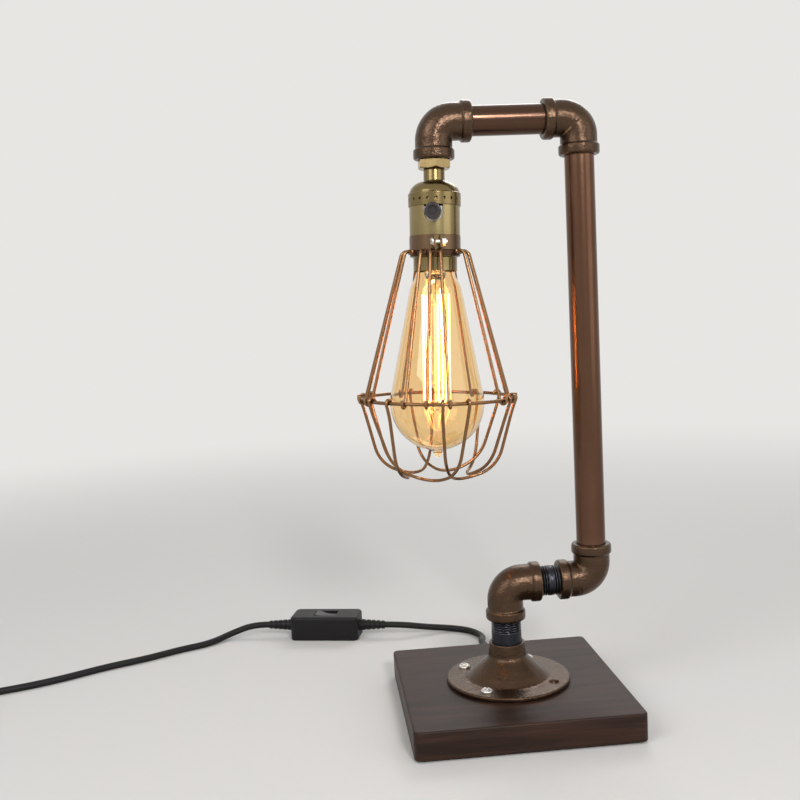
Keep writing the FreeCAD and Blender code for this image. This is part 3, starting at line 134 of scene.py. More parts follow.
def shift(x: float = 0.0, y: float = 0.0, z: float = 0.0) -> np.ndarray:
    """Return a 4 by 4 shift in millimetres.

    Args:
        x: Shift along X.
        y: Shift along Y.
        z: Shift along Z.

    Returns:
        The matrix.
    """
    made = np.eye(4)
    made[:3, 3] = (x, y, z)
    return made


HEAD = shift(HEAD_X, 0, ARM_Z) @ turn("Y", LEAN)
COLLAR = HEAD @ turn("Z", -2.3)
SWITCH = shift(-127.5, 184.5) @ turn("Z", -13.4)


# lines and outlines


def rounded(corners: Sequence[Sequence[float]], radii: float | Sequence[float],
            closed: bool = False, steps: int = 8) -> np.ndarray:
    """Return points along straight runs whose corners are round.

    Each corner becomes an arc that touches both runs. Its radius shrinks where a run is too
    short, to leave the arcs apart.

    Args:
        corners: The corner points, in two or three dimensions.
        radii: One radius, or one for each corner.
        closed: Whether the last corner joins the first.
        steps: Points on each arc.

    Returns:
        The points, one in each row.
    """
    spots = np.asarray(corners, float)
    count = len(spots)
    sizes = np.broadcast_to(np.asarray(radii, float), (count,))
    out = []
    for i, here in enumerate(spots):
        inner = closed or 0 < i < count - 1
        if not inner or sizes[i] <= 0:
            out.append(here[None])
            continue
        back = spots[i - 1] - here
        ahead = spots[(i + 1) % count] - here
        reach = 0.49 * min(np.linalg.norm(back), np.linalg.norm(ahead))
        back /= np.linalg.norm(back)
        ahead /= np.linalg.norm(ahead)
        half = 0.5 * math.acos(float(np.clip(back @ ahead, -1, 1)))
        if half > math.pi / 2 - 1e-4:
            out.append(here[None])
            continue
        touch = min(sizes[i] / math.tan(half), reach)
        radius = touch * math.tan(half)
        centre = here + (back + ahead) / np.linalg.norm(back + ahead) * radius / math.sin(half)
        first = here + back * touch - centre
        last = here + ahead * touch - centre
        sweep = math.pi - 2 * half
        share = np.linspace(0, 1, steps + 1)[:, None]
        arc = (np.sin((1 - share) * sweep) * first + np.sin(share * sweep) * last) / math.sin(sweep)
        out.append(centre + arc)
    return np.concatenate(out)


def arc(centre: Sequence[float], radius: float, start: float, end: float, steps: int = 24) -> np.ndarray:
    """Return points on a circle's arc in a plane.

    Args:
        centre: Middle of the circle.
        radius: Its radius.
        start: First direction in degrees.
        end: Last direction in degrees.
        steps: Number of stretches.

    Returns:
        The points, one in each row.
    """
    angles = np.radians(np.linspace(start, end, steps + 1))
    return np.stack([centre[0] + radius * np.cos(angles), centre[1] + radius * np.sin(angles)], 1)


def densified(points: np.ndarray, step: float, low: float = -1e9, high: float = 1e9,
              closed: bool = False) -> np.ndarray:
    """Return a line with points added so that no stretch in a band of heights is long.

    Args:
        points: The line's points; the last coordinate is the height.
        step: Longest stretch inside the band.
        low: Lower edge of the band.
        high: Upper edge of the band.
        closed: Whether the last point joins the first.

    Returns:
        The line with its added points.
    """
    out = []
    count = len(points)
    for i in range(count if closed else count - 1):
        start, end = points[i], points[(i + 1) % count]
        inside = max(start[-1], end[-1]) > low and min(start[-1], end[-1]) < high
        parts = max(1, math.ceil(np.linalg.norm(end - start) / step)) if inside else 1
        out.append(start + (end - start) * np.linspace(0, 1, parts, endpoint=False)[:, None])
    if not closed:
        out.append(points[-1:])
    return np.concatenate(out)


def smooth_step(value: np.ndarray, low: float, high: float) -> np.ndarray:
    """Return 0 below low, 1 above high and an even S-shaped rise between them.

    Args:
        value: The values to map.
        low: Where the rise starts.
        high: Where it ends.

    Returns:
        The mapped values.
    """
    share = np.clip((value - low) / (high - low), 0, 1)
    return share * share * (3 - 2 * share)


def frames_along(path: np.ndarray) -> tuple[np.ndarray, np.ndarray]:
    """Return two directions square to a path at each of its points, with no twist.

    Each pair is the one before it, turned by the least turn between the two tangents.

    Args:
        path: The path's points.

    Returns:
        Two arrays of unit vectors.
    """
    tangent = np.gradient(path, axis=0)
    tangent /= np.linalg.norm(tangent, axis=1)[:, None]
    seed = np.eye(3)[int(np.argmin(np.abs(tangent[0])))]
    normal = np.cross(tangent[0], seed)
    normals = [normal / np.linalg.norm(normal)]
    for now in tangent[1:]:
        kept = normals[-1] - now * (normals[-1] @ now)
        normals.append(kept / np.linalg.norm(kept))
    first = np.array(normals)
    return first, np.cross(tangent, first)


# meshes


@dataclass
class Shell:
    """Points and faces of one piece, gathered from grids that each close on themselves."""

    points: list[np.ndarray] = field(default_factory=list)
    faces: list[np.ndarray] = field(default_factory=list)
    count: int = 0

    def add_grid(self, grid: np.ndarray, wrap: bool = False, place: np.ndarray | None = None) -> "Shell":
        """Add a grid of rings as one closed surface, with its faces turned outwards.

        The rings run round the second axis. The first and last ring are closed with a fan,
        or joined to each other.

        Args:
            grid: Points as rings by points round by 3.
            wrap: Whether the last ring joins the first.
            place: Where the grid stands, or None for the lamp's own frame.

        Returns:
            This shell.
        """
        rings, around = grid.shape[:2]
        flat = grid.reshape(-1, 3)
        index = np.arange(rings * around).reshape(rings, around)
        upper = np.roll(index, -1, 0) if wrap else index[1:]
        lower = index if wrap else index[:-1]
        quads = np.stack([lower, np.roll(lower, -1, 1), np.roll(upper, -1, 1), upper], -1).reshape(-1, 4)
        if not wrap:
            flat = np.concatenate([flat, grid[0].mean(0)[None], grid[-1].mean(0)[None]])
            low = np.full(around, rings * around)
            first = np.stack([low, np.roll(index[0], -1), index[0], low], -1)
            last = np.stack([low + 1, index[-1], np.roll(index[-1], -1), low + 1], -1)
            quads = np.concatenate([quads, first, last])
        a, b, c, d = (flat[quads[:, i]] for i in range(4))
        if (a * (np.cross(b, c) + np.cross(c, d))).sum() < 0:
            quads = quads[:, ::-1]
        if place is not None:
            flat = flat @ place[:3, :3].T + place[:3, 3]
        self.points.append(flat)
        self.faces.append(quads + self.count)
        self.count += len(flat)
        return self

    def to_object(self, name: str, sharp: float = 40.0) -> bpy.types.Object:
        """Make a smooth-shaded mesh object, sharp where faces meet at more than an angle.

        Args:
            name: The object's name.
            sharp: That angle in degrees.

        Returns:
            The object, linked to the scene.
        """
        faces = np.concatenate(self.faces)
        three = faces[:, 0] == faces[:, 3]
        mesh = bpy.data.meshes.new(name)
        mesh.from_pydata((np.concatenate(self.points) * MM).tolist(), [],
                         faces[~three].tolist() + faces[three, :3].tolist())
        mesh.validate()
        mesh.shade_smooth()
        mesh.set_sharp_from_angle(angle=math.radians(sharp))
        made = bpy.data.objects.new(name, mesh)
        bpy.context.scene.collection.objects.link(made)
        return made


Relief = Callable[[np.ndarray, np.ndarray, np.ndarray], np.ndarray]


def revolved(profile: np.ndarray, around: int | np.ndarray = 96, relief: Relief | None = None,
             axis: str = "Z") -> np.ndarray:
    """Return the grid of a profile turned about an axis.

    Args:
        profile: Rows of distance from the axis and height along it.
        around: Number of points round, or their angles in radians.
        relief: Gives an added distance from the profile's distances, heights and angles.
        axis: "Z", or "X" for a piece that lies along X.

    Returns:
        Points as rings by points round by 3.
    """
    angles = np.linspace(0, 2 * np.pi, around, endpoint=False) if isinstance(around, int) else around
    out, up, angle = np.broadcast_arrays(profile[:, :1], profile[:, 1:], angles[None])
    if relief is not None:
        out = out + relief(out, up, angle)
    grid = np.stack([out * np.cos(angle), out * np.sin(angle), up], -1)
    return grid[..., [2, 0, 1]] if axis == "X" else grid


def piped(path: np.ndarray, radius: float | np.ndarray, around: int = 20) -> np.ndarray:
    """Return the grid of a round tube along a path.

    Args:
        path: The path's points.
        radius: One radius, or one for each point.
        around: Points round the tube.

    Returns:
        Points as rings by points round by 3.
    """
    first, second = frames_along(path)
    angle = np.linspace(0, 2 * np.pi, around, endpoint=False)[None, :, None]
    size = np.broadcast_to(np.asarray(radius, float), (len(path),))[:, None, None]
    return path[:, None] + size * (np.cos(angle) * first[:, None] + np.sin(angle) * second[:, None])


def squircle_rings(levels: Sequence[tuple[float, float, float]], power: float) -> np.ndarray:
    """Return rings along X whose outline lies between an ellipse and a rectangle.

    The outline follows the powers of the sine and cosine, so that a power of 2 is an ellipse
    and a high power is nearly a rectangle.

    Args:
        levels: Rows of half width, half height and place along X.
        power: The outline's power.

    Returns:
        Points as rings by points round by 3.
    """
    angle = np.linspace(0, 2 * np.pi, 72, endpoint=False)
    wide, high = (np.sign(wave) * np.abs(wave) ** (2 / power) for wave in (np.cos(angle), np.sin(angle)))
    rows = np.asarray(levels, float)
    return np.stack([np.broadcast_to(rows[:, 2:], (len(rows), 72)), rows[:, :1] * wide, rows[:, 1:2] * high],
                    -1)


def block_rings(half: float, corner: float, levels: np.ndarray) -> np.ndarray:
    """Return rings of a square with round corners, set in by a distance at each height.

    Args:
        half: Half its side.
        corner: Radius of the upright corners.
        levels: Rows of inset and height.

    Returns:
        Points as rings by points round by 3.
    """
    rings = []
    for inset, height in levels:
        a, r = half - inset, max(corner - inset, 0.05)
        square = rounded([(a, -a), (a, a), (-a, a), (-a, -a)], r, True)
        square = densified(square, half / 6, closed=True)
        rings.append(np.column_stack([square, np.full(len(square), height)]))
    return np.array(rings)


def edge_levels(low: float, high: float, lower: float, upper: float) -> np.ndarray:
    """Return insets and heights of a block's side whose lower and upper edges are round.

    Args:
        low: Height of the underside.
        high: Height of the top.
        lower: Rounding of the lower edge.
        upper: Rounding of the upper edge.

    Returns:
        Rows of inset and height.
    """
    angle = np.radians(np.linspace(0, 90, 6))
    bottom = np.stack([lower * (1 - np.sin(angle)), low + lower * (1 - np.cos(angle))], 1)
    top = np.stack([upper * (1 - np.cos(angle)), high - upper * (1 - np.sin(angle))], 1)
    flat = np.array([(0.5, 0.0), (3.0, 0.0)])
    return np.concatenate([flat[::-1] + (lower, low), bottom, top, flat + (upper, high)])


# shared shader effects


class Graph:
    """Adds nodes to a tree and joins them."""

    def __init__(self, tree: bpy.types.NodeTree) -> None:
        self.tree = tree

    def feed(self, node: bpy.types.Node, **sockets: object) -> None:
        """Set a node's inputs.

        Args:
            node: The node.
            **sockets: Values, or the sockets that feed them, by the input's name with its spaces
                as underscores, or by an underscore and the input's number.
        """
        for key, given in sockets.items():
            slot = node.inputs[int(key[1:]) if key[1:].isdigit() else key.replace("_", " ")]
            if isinstance(given, bpy.types.NodeSocket):
                self.tree.links.new(given, slot)
            else:
                slot.default_value = given

    def add(self, kind: str, settings: dict[str, object] | None = None, **sockets: object) -> bpy.types.Node:
        """Add a node.

        Args:
            kind: The node's type.
            settings: The node's own settings.
            **sockets: Its inputs, as in feed.

        Returns:
            The node.
        """
        node = self.tree.nodes.new(kind)
        for key, setting in (settings or {}).items():
            setattr(node, key, setting)
        self.feed(node, **sockets)
        return node

    def math(self, operation: str, *values: object) -> bpy.types.NodeSocket:
        """Return the result of a sum.

        Args:
            operation: What is done with the values.
            *values: Numbers, or the sockets that feed them.
        """
        given = {f"_{i}": value for i, value in enumerate(values)}
        return self.add("ShaderNodeMath", {"operation": operation}, **given).outputs[0]

    def noise(self, spot: bpy.types.NodeSocket, scale: object, detail: float,
              **more: float) -> bpy.types.NodeSocket:
        """Return the value of a noise.

        Args:
            spot: Where it is read.
            scale: Its scale.
            detail: Its detail.
            **more: Further inputs.
        """
        return self.add("ShaderNodeTexNoise", Vector=spot, Scale=scale, Detail=detail, **more).outputs[0]

    def remap(self, value: bpy.types.NodeSocket, low: float, high: float, top: float = 1.0,
              kind: str = "LINEAR") -> bpy.types.NodeSocket:
        """Return a value that runs from 0 to a top while another runs from low to high.

        Args:
            value: The other value.
            low: Where it is 0.
            high: Where it is at the top.
            top: The highest result.
            kind: How it runs between them.
        """
        return self.add("ShaderNodeMapRange", {"interpolation_type": kind}, Value=value, From_Min=low,
                        From_Max=high, To_Min=0.0, To_Max=top).outputs[0]

    def blend(self, share: bpy.types.NodeSocket, first: object, second: object) -> bpy.types.NodeSocket:
        """Return a mix of two colours.

        Args:
            share: The second's share.
            first: The first colour.
            second: The second colour.
        """
        return self.add("ShaderNodeMix", {"data_type": "RGBA"}, Factor=share, _6=first, _7=second).outputs[2]

    def spot(self) -> bpy.types.NodeSocket:
        """Return the place on the piece, in its own frame."""
        return self.add("ShaderNodeTexCoord").outputs["Object"]

    def stretched(self, spot: bpy.types.NodeSocket, by: object) -> bpy.types.NodeSocket:
        """Return a place multiplied by a vector.

        Args:
            spot: The place.
            by: The vector.
        """
        return self.add("ShaderNodeVectorMath", {"operation": "MULTIPLY"}, _0=spot, _1=by).outputs[0]

    def shown(self) -> bpy.types.NodeSocket:
        """Return 1 for rays by which the camera sees a thing, straight, mirrored or through glass."""
        path = self.add("ShaderNodeLightPath").outputs
        seen = self.math("MAXIMUM", path["Is Camera Ray"], path["Is Glossy Ray"])
        return self.math("MAXIMUM", seen, path["Is Transmission Ray"])


def new_group(name: str, inputs: Sequence[tuple[str, str, object]], outputs: Sequence[tuple[str, str]]
              ) -> tuple[Graph, bpy.types.bpy_prop_collection, bpy.types.Node]:
    """Start a shader node group with named inputs and outputs.

    Args:
        name: The group's name.
        inputs: Name, socket type and default of each input.
        outputs: Name and socket type of each output.

    Returns:
        The group's graph, the sockets of what it is given, and its output node.
    """
    tree = bpy.data.node_groups.new(name, "ShaderNodeTree")
    for label, kind, value in inputs:
        tree.interface.new_socket(label, in_out="INPUT", socket_type=kind).default_value = value
    for label, kind in outputs:
        tree.interface.new_socket(label, in_out="OUTPUT", socket_type=kind)
    graph = Graph(tree)
    return graph, graph.add("NodeGroupInput").outputs, graph.add("NodeGroupOutput")


COLOR, FLOAT, VECTOR = "NodeSocketColor", "NodeSocketFloat", "NodeSocketVector"


def make_skin_group() -> bpy.types.NodeTree:
    """Make the skin effect: a lumpy or grainy height, patchy colour and uneven gloss.

    The height adds a broad noise and a fine one. The colour goes from light to dark with a
    cloudy noise, and the worn colour shows on convex edges.

    Returns:
        The node group.
    """
    graph, given, out = new_group(
        "Skin",
        [("Color", COLOR, (0.5, 0.5, 0.5, 1)), ("Worn Color", COLOR, (0.8, 0.8, 0.8, 1)),
         ("Grain Scale", FLOAT, 600.0), ("Patch Scale", FLOAT, 40.0), ("Patch", FLOAT, 0.3),
         ("Wear", FLOAT, 0.3), ("Gloss Spread", FLOAT, 0.1), ("Roughness", FLOAT, 0.4)],
        [("Color", COLOR), ("Roughness", FLOAT), ("Height", FLOAT)])
    spot = graph.spot()
    grain = graph.noise(spot, given["Grain Scale"], 3.0, Roughness=0.55)
    lumps = graph.noise(spot, graph.math("MULTIPLY", given["Grain Scale"], 0.22), 2.0)
    height = graph.math("MULTIPLY_ADD", lumps, 1.6, grain)
    cloud = graph.remap(graph.noise(spot, given["Patch Scale"], 5.0, Roughness=0.62), 0.3, 0.7)
    darker = graph.add("ShaderNodeHueSaturation", Saturation=1.08, Value=0.55, Color=given["Color"])
    patchy = graph.blend(graph.math("MULTIPLY", cloud, given["Patch"]), given["Color"], darker.outputs[0])
    edge = graph.remap(graph.add("ShaderNodeNewGeometry").outputs["Pointiness"], 0.52, 0.60)
    worn = graph.blend(graph.math("MULTIPLY", edge, given["Wear"]), patchy, given["Worn Color"])
    gloss = graph.math("MULTIPLY_ADD", cloud, given["Gloss Spread"], given["Roughness"])
    graph.feed(out, Color=worn, Roughness=gloss, Height=height)
    return graph.tree


def make_streak_group() -> bpy.types.NodeTree:
    """Make the streak effect: fine lines along one direction, as left by drawing or brushing.

    A noise is read at places stretched by a vector, so it varies slowly along the lines.

    Returns:
        The node group.
    """
    graph, given, out = new_group(
        "Streaks", [("Stretch", VECTOR, (1.0, 1.0, 1.0)), ("Scale", FLOAT, 900.0)], [("Height", FLOAT)])
    place = graph.stretched(graph.spot(), given["Stretch"])
    graph.feed(out, Height=graph.noise(place, given["Scale"], 2.0))
    return graph.tree


def make_wood_group() -> bpy.types.NodeTree:
    """Make the wood effect: growth bands along X, bent by a slow noise, with fine pores.

    Returns:
        The node group.
    """
    graph, given, out = new_group(
        "Wood", [("Dark", COLOR, (0.05, 0.02, 0.01, 1)), ("Light", COLOR, (0.15, 0.07, 0.04, 1))],
        [("Color", COLOR), ("Height", FLOAT)])
    spot = graph.spot()
    bands = graph.noise(graph.stretched(spot, (1.0, 9.0, 14.0)), 9.0, 5.0, Roughness=0.6, Distortion=0.8)
    pores = graph.noise(graph.stretched(spot, (1.0, 30.0, 30.0)), 60.0, 2.0)
    banded = graph.blend(graph.remap(bands, 0.36, 0.66), given["Dark"], given["Light"])
    dotted = graph.blend(graph.remap(pores, 0.56, 0.68, 0.45), banded, given["Dark"])
    graph.feed(out, Color=dotted, Height=pores)
    return graph.tree


# finishes


RGB = tuple[float, float, float]


@dataclass(frozen=True)
class Finish:
    """How a surface looks: its colour, shine, skin and streaks, and the record's slot for it."""

    name: str
    slot: str
    color: RGB
    metallic: float = 0.0
    roughness: float = 0.4
    worn: RGB = (0.6, 0.5, 0.4)
    wear: float = 0.0
    patch: float = 0.2
    patch_scale: float = 45.0
    grain_scale: float = 700.0
    bump: float = 0.05
    gloss_spread: float = 0.08
    stretch: tuple[float, float, float] | None = None
    specular: float = 0.5


@dataclass(frozen=True)
class GlassFinish:
    """A clear or tinted glass."""

    name: str
    slot: str
    color: RGB
    roughness: float = 0.0
    ior: float = 1.47


@dataclass(frozen=True)
class GlowFinish:
    """A surface that gives light of its own."""

    name: str
    slot: str
    color: RGB
    strength: float


@dataclass(frozen=True)
class WoodFinish:
    """A stained and varnished wood."""

    name: str
    slot: str
    dark: RGB
    light: RGB
    color: RGB = (0.1, 0.05, 0.03)
    roughness: float = 0.45
    specular: float = 0.2


CAST = Finish("cast_bronze", "bronze_fitting", (0.085, 0.05, 0.03), 0.85, 0.21, (0.42, 0.28, 0.16),
              wear=0.45, patch=0.45, patch_scale=55.0, grain_scale=620.0, bump=0.32, gloss_spread=0.1)
PIPE = Finish("pipe_bronze", "bronze_pipe", (0.125, 0.062, 0.037), 0.88, 0.19, (0.42, 0.28, 0.2),
              wear=0.1, patch=0.3, patch_scale=30.0, grain_scale=900.0, bump=0.03, gloss_spread=0.06,
              stretch=(1.0, 1.0, 0.05))
# The arm's finish is the column pipe's finish with its streaks along X; its darker colour is painted shade.
ARM_PAINTED_SHADE = replace(PIPE, name="arm_bronze_painted_shade", color=(0.09, 0.047, 0.03), stretch=(0.05, 1.0, 1.0))
STEEL = Finish("dark_steel", "dark_nipple", (0.04, 0.042, 0.052), 0.95, 0.28, (0.5, 0.5, 0.53), wear=0.7,
               patch=0.3, patch_scale=90.0, grain_scale=800.0)
HEX_BRASS = Finish("hex_brass", "bright_brass", (0.33, 0.24, 0.11), 1.0, 0.2, (0.7, 0.54, 0.3), wear=0.25,
                   patch=0.15, patch_scale=60.0, grain_scale=900.0, bump=0.02)
BRASS = Finish("antique_brass", "antique_brass", (0.22, 0.164, 0.074), 1.0, 0.2, (0.55, 0.45, 0.24),
               wear=0.25, patch=0.3, patch_scale=50.0, grain_scale=900.0, bump=0.02, gloss_spread=0.06,
               stretch=(0.06, 0.06, 1.0))
CAGE_METAL = Finish("cage_copper", "cage_copper", (0.23, 0.115, 0.05), 0.95, 0.22, (0.7, 0.45, 0.25),
                    wear=0.3, patch=0.35, patch_scale=120.0, grain_scale=900.0, bump=0.03)
COLLAR_METAL = Finish("collar_copper", "cage_copper", (0.07, 0.039, 0.023), 0.95, 0.26, (0.4, 0.26, 0.15),
                      wear=0.25, patch=0.4, patch_scale=90.0, grain_scale=800.0, bump=0.06)
ZINC = Finish("zinc", "zinc_screw", (0.66, 0.64, 0.60), 1.0, 0.28, (0.85, 0.85, 0.82), wear=0.4, patch=0.25,
              patch_scale=200.0, grain_scale=900.0, bump=0.04)
NICKEL = Finish("nickel", "nickel_cap", (0.62, 0.58, 0.50), 1.0, 0.25)
CONTACT = Finish("contact", "", (0.70, 0.42, 0.22), 1.0, 0.3)
BLACK = Finish("black_plastic", "black_plastic", (0.007, 0.0065, 0.0065), 0.0, 0.42, patch=0.1,
               grain_scale=1400.0, bump=0.06, specular=0.25)
KNOB = Finish("knob_plastic", "", (0.03, 0.022, 0.024), 0.0, 0.16, patch=0.1, bump=0.0)
CORD = Finish("cord_sheath", "black_cord", (0.008, 0.0075, 0.0075), 0.0, 0.45, patch=0.1,
              grain_scale=900.0, bump=0.03, specular=0.25)
CERAMIC = Finish("ceramic", "", (0.72, 0.70, 0.64), 0.0, 0.2)
CARD = Finish("sleeve_card", "", (0.09, 0.06, 0.045), 0.0, 0.7)
FELT = Finish("felt", "", (0.02, 0.02, 0.02), 0.0, 0.95, bump=0.3)
# Near-black finish of the disc in the empty screw hole: painted shade.
HOLE_PAINTED_SHADE = Finish("hole_painted_shade", "", (0.012, 0.009, 0.008), 0.0, 0.8)
AMBER = GlassFinish("amber_glass", "amber_glass", (1.0, 0.81, 0.53))
CLEAR = GlassFinish("clear_glass", "clear_glass", (0.98, 0.97, 0.94), 0.02)
GLOW = GlowFinish("filament_glow", "filament_glow", (1.0, 0.44, 0.12), 24.0)
WALNUT = WoodFinish("dark_walnut", "dark_wood", (0.016, 0.0075, 0.005), (0.048, 0.021, 0.013))

AnyFinish = Finish | GlassFinish | GlowFinish | WoodFinish


@dataclass
class Paintbox:
    """Makes each finish's material once and hands it out."""

    made: dict[str, bpy.types.Material] = field(default_factory=dict)
    skin: bpy.types.NodeTree = field(default_factory=make_skin_group)
    streaks: bpy.types.NodeTree = field(default_factory=make_streak_group)
    wood: bpy.types.NodeTree = field(default_factory=make_wood_group)

    def get(self, finish: AnyFinish) -> bpy.types.Material:
        """Return the material of a finish.

        Args:
            finish: The finish.

        Returns:
            Its material, made at the first call.
        """
        if finish.name not in self.made:
            material = bpy.data.materials.new(finish.name)
            material.use_nodes = True
            material.node_tree.nodes.clear()
            graph = Graph(material.node_tree)
            if isinstance(finish, Finish):
                inputs = self._coated(graph, finish)
            elif isinstance(finish, WoodFinish):
                inputs = self._wooden(graph, finish)
            elif isinstance(finish, GlassFinish):
                inputs = {"Base_Color": (*finish.color, 1), "Roughness": finish.roughness, "IOR": finish.ior,
                          "Transmission_Weight": 1.0}
            else:
                inputs = {"Base_Color": (*finish.color, 1), "Emission_Color": (*finish.color, 1),
                          "Emission_Strength": finish.strength}
            shader = graph.add("ShaderNodeBsdfPrincipled", **inputs)
            graph.add("ShaderNodeOutputMaterial", Surface=shader.outputs[0])
            material.diffuse_color = (*finish.color, 1)
            self.made[finish.name] = material
        return self.made[finish.name]

    def _coated(self, graph: Graph, finish: Finish) -> dict[str, object]:
        """Return the shader's inputs for a metal, paint or plastic with its skin and streaks."""
        skin = graph.add("ShaderNodeGroup", {"node_tree": self.skin}, Color=(*finish.color, 1),
                         Worn_Color=(*finish.worn, 1), Grain_Scale=finish.grain_scale,
                         Patch_Scale=finish.patch_scale, Patch=finish.patch, Wear=finish.wear,
                         Gloss_Spread=finish.gloss_spread, Roughness=finish.roughness).outputs
        height = skin["Height"]
        if finish.stretch is not None:
            lines = graph.add("ShaderNodeGroup", {"node_tree": self.streaks}, Stretch=finish.stretch)
            height = graph.math("MULTIPLY_ADD", lines.outputs["Height"], 2.0, height)
        bump = graph.add("ShaderNodeBump", Strength=finish.bump, Distance=MM, Height=height)
        return {"Base_Color": skin["Color"], "Roughness": skin["Roughness"], "Normal": bump.outputs[0],
                "Metallic": finish.metallic, "Specular_IOR_Level": finish.specular}

    def _wooden(self, graph: Graph, finish: WoodFinish) -> dict[str, object]:
        """Return the shader's inputs for a stained wood under satin varnish."""
        wood = graph.add("ShaderNodeGroup", {"node_tree": self.wood}, Dark=(*finish.dark, 1),
                         Light=(*finish.light, 1)).outputs
        bump = graph.add("ShaderNodeBump", Strength=0.12, Distance=0.6 * MM, Height=wood["Height"])
        return {"Base_Color": wood["Color"], "Roughness": finish.roughness, "Normal": bump.outputs[0],
                "Specular_IOR_Level": finish.specular}


@dataclass
class Workshop:
    """Turns shells into dressed pieces that ride on the lamp's bodies."""

    paints: Paintbox

    def paint(self, made: bpy.types.Object, finish: AnyFinish) -> None:
        """Give a piece or a solid its one material.

        Args:
            made: The piece or solid.
            finish: Its finish.
        """
        made.data.materials.clear()
        made.data.materials.append(self.paints.get(finish))

    def place(self, made: bpy.types.Object, body: Body, finish: AnyFinish, *nodes: str) -> bpy.types.Object:
        """Paint a piece, seat it on its body and let it stand for its solids.

        Args:
            made: The piece.
            body: The body it rides on.
            finish: Its finish.
            *nodes: Solids that it stands for.

        Returns:
            The piece.
        """
        self.paint(made, finish)
        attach(made, body.value)
        if nodes:
            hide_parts(*nodes)
        return made

    def piece(self, name: str, shape: Shell | np.ndarray, body: Body, finish: AnyFinish, *nodes: str,
              at: np.ndarray | None = None, sharp: float = 40.0) -> bpy.types.Object:
        """Make a piece from a shell or one grid, and place it.

        Args:
            name: The piece's name.
            shape: The shell, or the grid.
            body: The body it rides on.
            finish: Its finish.
            *nodes: Solids that it stands for.
            at: Where the grid stands, or None for the lamp's own frame.
            sharp: Angle in degrees over which edges are sharp.

        Returns:
            The piece.
        """
        shell = shape if isinstance(shape, Shell) else Shell().add_grid(shape, place=at)
        return self.place(shell.to_object(name, sharp), body, finish, *nodes)

    def dress(self, frame: dict, finishes: dict[str, AnyFinish]) -> None:
        """Paint solids that are shown as they are.

        Args:
            frame: What the frame's loader returned.
            finishes: The finish of each node.
        """
        for node, finish in finishes.items():
            self.paint(frame["nodes"][node], finish)


# parts of the lamp


def cross_recess(out: np.ndarray, angle: np.ndarray, reach: float, half_width: float,
                 depth: float) -> np.ndarray:
    """Return the depth of a cross-shaped recess at polar places on a screw's head.

    A place is in the recess where its distance from either arm's middle line is under the
    half width. The walls slope, and the arms end with a slope.

    Args:
        out: Distances from the screw's axis.
        angle: Directions.
        reach: Length of an arm.
        half_width: Half an arm's width.
        depth: Depth at the middle.

    Returns:
        The depths.
    """
    x, y = np.abs(out * np.cos(angle)), np.abs(out * np.sin(angle))
    aside, along = np.minimum(x, y), np.maximum(x, y)
    inside = 1 - smooth_step(aside, half_width - 0.12, half_width + 0.12)
    return depth * inside * (1 - smooth_step(along, reach - 0.9, reach))


def pan_head(radius: float, height: float, reach: float) -> np.ndarray:
    """Return the grid of a domed screw head with a cross recess, standing on its seat.

    Args:
        radius: The head's radius.
        height: Its height.
        reach: Length of a recess arm.

    Returns:
        Points as rings by points round by 3.
    """
    flat, crown, around = radius * 0.55, 0.14, 96
    side = rounded([(radius - 0.1, 0), (radius, 0.1), (radius, height * 0.45), (flat, height)],
                   [0, 0.05, height * 0.5, 0])
    top = np.stack([np.linspace(flat, 0.04, 22)[1:], np.full(21, height)], 1)
    profile = np.concatenate([side, top])
    angle = np.linspace(0, 2 * np.pi, around, endpoint=False)[None]
    out = np.broadcast_to(profile[:, :1], (len(profile), around))
    dome = height + crown * (1 - (out / flat) ** 2)
    level = np.where(out < flat + 1e-6, dome, profile[:, 1:])
    recess = cross_recess(out, angle, reach, 0.42, 1.1)
    level = level - np.where(profile[:, 1:] >= height - 1e-6, recess, 0)
    return np.stack([out * np.cos(angle), out * np.sin(angle), level], -1)


def threaded(low: float, high: float, bands: Sequence[tuple[float, float]]) -> np.ndarray:
    """Return the grid of a nipple with pipe thread on bands of its length.

    The thread's depth is a triangle wave of the height less the angle's share of the pitch,
    so the ridges climb as a helix. It fades out at each band's end.

    Args:
        low: Lower end.
        high: Upper end.
        bands: Lower and upper height of each band.

    Returns:
        Points as rings by points round by 3.
    """
    pitch, depth, stride = 1.81, 0.95, 0.15
    heights = np.arange(low, high, stride)
    profile = np.stack([np.full(len(heights), NIPPLE_R), heights], 1)

    def relief(_out: np.ndarray, up: np.ndarray, angle: np.ndarray) -> np.ndarray:
        """Return the thread's depth as a negative distance."""
        wave = np.abs(2 * np.mod(up / pitch - angle / (2 * np.pi), 1) - 1)
        share = sum(smooth_step(up, a, a + 1.2) * (1 - smooth_step(up, b - 1.6, b)) for a, b in bands)
        return -depth * share * np.clip(wave * 1.15 - 0.08, 0, 1)

    return revolved(profile, 96, relief)


